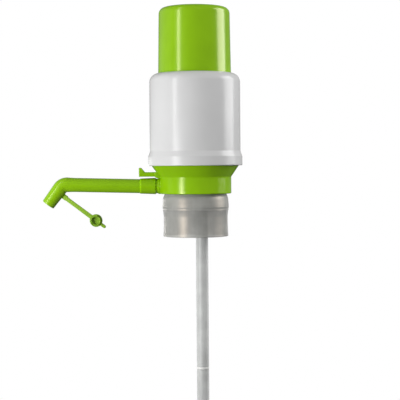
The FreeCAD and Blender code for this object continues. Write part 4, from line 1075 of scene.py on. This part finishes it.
class PUMP_OT_adaptor_nut(bpy.types.Operator):
    """Ring nut with a grooved grip, which clamps the skirt to the collar's neck"""
    bl_idname = "pump.adaptor_nut"
    bl_label = "Ring nut"
    bl_options = {"REGISTER", "UNDO"}

    def execute(self, context):
        size = sizes()
        bore, flange, waist = 20.1, size.crown - 0.6, size.crown - 3.0
        grip_z = GASKET_TOP_Z + 4.6
        corners = [(bore, GASKET_TOP_Z, 0.3), (flange, GASKET_TOP_Z, 0.4),
                   (flange, GASKET_TOP_Z + 2.3, 0.5), (waist, GASKET_TOP_Z + 4.0, 1.0),
                   (waist, grip_z), (waist, NUT_TOP_Z - 0.5), (waist, NUT_TOP_Z, 0.2),
                   (bore, NUT_TOP_Z, 0.3)]
        grooves, groove_depth, near = 30, 0.45, 0.05

        def grooved(radius, height, angle):
            if abs(radius - waist) >= near or height <= grip_z - 0.1:
                return radius
            return radius - groove_depth * max(0.0, cos(grooves * angle))

        piece("ring_nut", turned(eased(corners), upright(), 240, grooved), "inner", "base",
              "white_plastic", "adaptor_nut")
        return {"FINISHED"}


class PUMP_OT_dip_tube(bpy.types.Operator):
    """Milky dip tube in three lengths"""
    bl_idname = "pump.dip_tube"
    bl_label = "Dip tube"
    bl_options = {"REGISTER", "UNDO"}

    def execute(self, context):
        size = sizes()
        bore = size.tube - size.tube_wall
        for part in ("upper", "middle", "lower"):
            node = "dip_tube_" + part
            low, high = span(node, 2)
            corners = [(bore, low, 0.25), (size.tube, low, 0.35), (size.tube, high, 0.35),
                       (bore, high, 0.25)]
            piece("tube_" + part, turned(eased(corners), upright(DIP_X), 72), "tube", "base",
                  "clear_tube", node)
        return {"FINISHED"}


class PUMP_OT_tube_connectors(bpy.types.Operator):
    """Connectors that plug into the tube's lengths and lie flush between them"""
    bl_idname = "pump.tube_connectors"
    bl_label = "Tube connectors"
    bl_options = {"REGISTER", "UNDO"}

    def execute(self, context):
        size = sizes()
        depth = 12
        spigot = size.tube - size.tube_wall - 0.05
        bore = spigot - 1.1
        for part in ("upper", "lower"):
            node = "tube_connector_" + part
            low, high = span(node, 2)
            corners = [(bore, low, 0.2), (spigot, low, 0.5), (spigot, low + depth),
                       (size.tube, low + depth, 0.35), (size.tube, high - depth, 0.35),
                       (spigot, high - depth), (spigot, high, 0.5), (bore, high, 0.2)]
            piece("connector_" + part, turned(eased(corners), upright(DIP_X), 72), "inner",
                  "base", "white_plastic", node)
        return {"FINISHED"}


class PUMP_OT_tube_foot(bpy.types.Operator):
    """Foot with three slots, which keeps the tube's end off the jug's floor"""
    bl_idname = "pump.tube_foot"
    bl_label = "Tube foot"
    bl_options = {"REGISTER", "UNDO"}

    def execute(self, context):
        size = sizes()
        bore, socket, outer = size.tube - size.tube_wall, size.tube + 0.05, size.tube + 1.05
        low, high = span("tube_foot", 2)
        stop = low + 8.0
        corners = [(bore, low, 0.4), (outer, low, 0.9), (outer, high, 0.4), (socket, high, 0.25),
                   (socket, stop), (bore, stop)]
        cup = turned(eased(corners), upright(DIP_X), 96)
        slots = [self.slot(2 * outer, low, third) for third in THIRDS]
        piece("tube_strainer", combined(cup, ("DIFFERENCE", *slots)), "inner", "base",
              "white_plastic", "tube_foot")
        return {"FINISHED"}

    @staticmethod
    def slot(reach, low, angle):
        """Tool for one slot, which is open below and has a round top."""
        half, top = 0.8, low + 5.0
        slot = block(0, reach, -half, half, low - 1, top)
        upper = [edge for edge in slot.edges
                 if all(vertex.co.z > (top - 1) * MM for vertex in edge.verts)
                 and abs(edge.verts[0].co.y - edge.verts[1].co.y) < 1e-6]
        round_over(slot, upper, 0.6, 4)
        turn, move = Matrix.Rotation(angle, 4, "Z"), Matrix.Translation((DIP_X * MM, 0, 0))
        bmesh.ops.transform(slot, matrix=move @ turn, verts=slot.verts)
        return slot


class PUMP_OT_bellows(bpy.types.Operator):
    """Soft folded bellows inside the shell"""
    bl_idname = "pump.bellows"
    bl_label = "Bellows"
    bl_options = {"REGISTER", "UNDO"}

    def execute(self, context):
        flange, neck, wall = span("bellows", 1)[1], 30.6, 1.2
        root, crest, folds = 23.5, 28.5, 6
        peg, top = 5.7, BELLOWS_PEAK_Z - 1.3
        low, high = PLATE_TOP_Z + 5.0, top - 2.9
        pitch = (high - low) / folds
        outer = [(flange, PLATE_TOP_Z, 0.3), (flange, CLAMP_Z, 0.3), (neck, CLAMP_Z, 0.8),
                 (neck, low - 1.0, 1.2)]
        inner = [(neck - wall, PLATE_TOP_Z), (neck - wall, low, 1.0)]
        for fold in range(folds):
            for share, radius in ((0.35, root), (0.85, crest)):
                height = low + pitch * (fold + share)
                outer.append((radius, height, 1.3))
                inner.append((radius - wall, height, 0.8))
        outer += [(root + wall, high, 0.6), (root + wall, top, 0.8), (peg, top, 0.4),
                  (peg, BELLOWS_PEAK_Z, 0.4), (0, BELLOWS_PEAK_Z)]
        inner += [(root - wall, high, 0.6), (0, high)]
        mesh = turned(eased(outer + inner[::-1], step=24), upright(), 96)
        bellows = piece("bellows_body", mesh, "bellows", "base", "bellows_rubber", "bellows")
        1 - CAP_TRAVEL / (top - PLATE_TOP_Z)
        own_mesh(bellows)
        return {"FINISHED"}


class PUMP_OT_seals(bpy.types.Operator):
    """Rubber seals of round section, a little squashed in their grooves"""
    bl_idname = "pump.seals"
    bl_label = "Seals"
    bl_options = {"REGISTER", "UNDO"}

    def execute(self, context):
        for node, body, place, axis, centre, squashed in (
                ("manifold_o_ring", "base", upright(), 2, 0.0, 0.43),
                ("air_duct_seal", "base", upright(0, AIR_Y), 2, AIR_Y, 0.33),
                ("coupling_seal", "base", on_duct, 0, 0.0, 0.33),
                ("spout_seal", "spout", on_duct, 0, 0.0, 0.33)):
            middle_r = span(node, 1)[1] - centre - squashed
            low, high = span(node, axis)
            middle, half = (low + high) / 2, (high - low) / 2
            section = [(middle_r + squashed * cos(angle), middle + half * sin(angle))
                       for angle in evenly(0, 2 * pi, 16)[:-1]]
            piece(node + "_ring", turned(section, place, 64), "rubber", body, "black_rubber",
                  node)
        return {"FINISHED"}


class PUMP_OT_intake_disc(bpy.types.Operator):
    """Soft disc that lifts to let air into the bellows"""
    bl_idname = "pump.intake_disc"
    bl_label = "Intake disc"
    bl_options = {"REGISTER", "UNDO"}

    def execute(self, context):
        radius = span("intake_disc", 0)[1]
        disc = rod(upright(0, INTAKE_Y), radius, *span("intake_disc", 2), 0.25, 64)
        piece("intake_flap", disc, "silicone", "intake_disc", "soft_seal", "intake_disc")
        return {"FINISHED"}


class PUMP_OT_inner_parts(bpy.types.Operator):
    """Finishes of the inner parts that keep their CAD shapes"""
    bl_idname = "pump.inner_parts"
    bl_label = "Inner parts"
    bl_options = {"REGISTER", "UNDO"}

    def execute(self, context):
        for look, *nodes in (
                ("inner", "water_manifold", "valve_plate", "bellows_clamp_ring", "intake_cage"),
                ("silicone", "delivery_duckbill"), ("steel", "plate_screws")):
            for node in nodes:
                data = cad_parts[node].data
                data.materials.clear()
                data.materials.append(made_finish(look))
        return {"FINISHED"}


# ---------------------------------------------------------------- stage
LIGHTS = (
    # name, degrees to the right of the camera, distance, height, width, tall, watts, mirrored
    ("key_softbox", -60, 0.7, -0.17, 0.5, 0.3, 2.35, False),
    ("fill_softbox", 18, 0.6, 0.5, 0.4, 0.25, 0.68, False),
    ("left_wall", -110, 1.6, 0.2, 2.0, 2.0, 3.2, True),
    ("upper_strip", -50.8, 1.4, 0.36, 0.19, 0.57, 3.3, True),
    ("band_strip", -50.8, 1.2, 1.1, 0.22, 0.5, 1.5, True),
    ("collar_strip", -44.6, 1.4, -0.005, 0.09, 0.075, 0.26, True),
    ("skirt_strip", -44.5, 1.4, -0.11, 0.46, 0.13, 7.7, True),
    ("collar_back", -150, 1.8, -0.02, 1.2, 0.07, 1.6, True),
    ("right_strip", 96, 1.4, 0.56, 0.9, 1.1, 20.0, True),
)
LIT_PLACE = Vector((0, 0, 0.06))       # where the lights point, in metres
SKY = 0.30                 # the surroundings' light on matt surfaces
SKY_MIRRORED = 0.22        # and in reflections
CAMERA_PLACE = (0.00396, -1.110, 0.039)        # in metres
CAMERA_TILT = 1.58         # degrees down
CAMERA_ROLL = -0.46        # degrees
SENSOR = 36.0              # millimetres across
FOCAL, FRAME_WIDTH = 1235, 400     # in pixels
FLOOR_RADIUS = 6.0         # in metres
FLOOR_GAP = 0.0003         # between the floor and the tube's foot
FLOOR_FADE = (0.35, 1.3)   # distances from the axis between which the floor turns white


def pale_floor():
    """Floor that is pale where it is seen, and dark in what it throws back on the pump, as a jug
    in its place would be. It fades to white all round."""
    finish = Finish("pale_floor")
    away = finish.node("ShaderNodeVectorMath", {"operation": "LENGTH"}, {0: finish.place}, "Value")
    fade = finish.between(away, *FLOOR_FADE)
    seen, through = (finish.node("ShaderNodeLightPath", {}, {}, f"Is {kind} Ray")
                     for kind in ("Camera", "Transmission"))
    white = finish.node("ShaderNodeEmission", {}, {"Color": (1.0, 1.0, 1.0), "Strength": 1.0},
                        "Emission")
    finish.surface(Base_Color=finish.mix(seen, (0.12, 0.12, 0.12), (0.85, 0.85, 0.85)),
                   Roughness=0.9, Specular_IOR_Level=0.1)
    plain = Link(finish, finish.shader.outputs["BSDF"])
    mixed = finish.node("ShaderNodeMixShader", {}, {0: fade * (seen + through), 1: plain, 2: white})
    finish.feed(finish.nodes["Material Output"].inputs["Surface"], mixed)
    return finish.material


class PUMP_OT_stage(bpy.types.Operator):
    """Pale floor, soft studio light, white surroundings and the camera"""
    bl_idname = "pump.stage"
    bl_label = "Stage"
    bl_options = {"REGISTER", "UNDO"}

    def execute(self, context):
        scene = context.scene
        scene.view_settings.view_transform = "Standard"
        self.surroundings(scene)
        self.floor()
        for light in LIGHTS:
            self.light(scene, *light)
        self.camera(scene)
        return {"FINISHED"}

    @staticmethod
    def surroundings(scene):
        """A plain light level on the pump, less in reflections, and white where it is seen."""
        scene.world = bpy.data.worlds.new("studio")
        sky = NodeTree(scene.world)
        background = sky.nodes["Background"]
        seen, mirrored, through = (sky.node("ShaderNodeLightPath", {}, {}, f"Is {kind} Ray")
                                   for kind in ("Camera", "Glossy", "Transmission"))
        sky.feed(background.inputs["Color"], (1.0, 1.0, 1.0))
        sky.feed(background.inputs["Strength"],
                 SKY + (seen + through) * (1 - SKY) - mirrored * (SKY - SKY_MIRRORED))

    @staticmethod
    def floor():
        """A round floor under the dip tube's foot that fades to white."""
        mesh = bmesh.new()
        bmesh.ops.create_circle(mesh, cap_ends=True, segments=96, radius=FLOOR_RADIUS)
        ground = placed("floor", mesh)
        ground.location.z = FLOOR_LEVEL - FLOOR_GAP
        ground.data.materials.append(pale_floor())

    @staticmethod
    def light(scene, name, angle, distance, height, width, tall, watts, mirrored):
        """A rectangular light turned to the pump."""
        data = bpy.data.lights.new(name, "AREA")
        data.shape = "RECTANGLE"
        data.size, data.size_y = width, tall
        data.energy = watts
        lamp = bpy.data.objects.new(name, data)
        side = radians(angle)
        lamp.location = (sin(side) * distance, -cos(side) * distance, height)
        aim = LIT_PLACE - lamp.location
        lamp.rotation_euler = aim.to_track_quat("-Z", "Y").to_euler()
        lamp.visible_camera = False
        lamp.visible_glossy = mirrored
        scene.collection.objects.link(lamp)

    @staticmethod
    def camera(scene):
        """The camera at eye level in front of the shell, tilted a little down."""
        data = bpy.data.cameras.new("camera")
        data.sensor_width = SENSOR
        data.lens = SENSOR * FOCAL / FRAME_WIDTH
        view = bpy.data.objects.new("camera", data)
        scene.collection.objects.link(view)
        view.matrix_world = (Matrix.Translation(CAMERA_PLACE)
                             @ Matrix.Rotation(radians(90 - CAMERA_TILT), 4, "X")
                             @ Matrix.Rotation(radians(CAMERA_ROLL), 4, "Z"))
        scene.camera = view


class PUMP_PT_panel(bpy.types.Panel):
    """Lists what builds the pump"""
    bl_idname = "PUMP_PT_panel"
    bl_label = "Water jug hand pump"
    bl_space_type = "VIEW_3D"
    bl_region_type = "UI"
    bl_category = "Pump"

    def draw(self, context):
        for operator in OPERATORS:
            self.layout.operator(operator.bl_idname)
        for group in (context.scene.pump_sizes, context.scene.pump_colours):
            column = self.layout.column()
            for name in type(group).__annotations__:
                column.prop(group, name)


OPERATORS = (
    PUMP_OT_press_cap, PUMP_OT_body_shell, PUMP_OT_base_collar, PUMP_OT_spout, PUMP_OT_coupling,
    PUMP_OT_stopper, PUMP_OT_relief_lever, PUMP_OT_relief_pad, PUMP_OT_lever_pin,
    PUMP_OT_relief_spring, PUMP_OT_neck_adaptor, PUMP_OT_neck_gasket, PUMP_OT_adaptor_nut,
    PUMP_OT_dip_tube, PUMP_OT_tube_connectors, PUMP_OT_tube_foot, PUMP_OT_bellows, PUMP_OT_seals,
    PUMP_OT_intake_disc, PUMP_OT_inner_parts, PUMP_OT_stage,
)
CLASSES = (PumpSizes, PumpColours, *OPERATORS, PUMP_PT_panel)


def register():
    """Registers the classes and hangs the sizes and colours on the scene."""
    for entry in CLASSES:
        bpy.utils.register_class(entry)
    bpy.types.Scene.pump_sizes = bpy.props.PointerProperty(type=PumpSizes)
    bpy.types.Scene.pump_colours = bpy.props.PointerProperty(type=PumpColours)


def unregister():
    """Takes the classes out again."""
    del bpy.types.Scene.pump_sizes
    del bpy.types.Scene.pump_colours
    for entry in reversed(CLASSES):
        bpy.utils.unregister_class(entry)


def main():
    """Builds everything in order."""
    register()
    for operator in OPERATORS:
        group, name = operator.bl_idname.split(".")
        getattr(getattr(bpy.ops, group), name)()


if __name__ == "__main__":
    main()
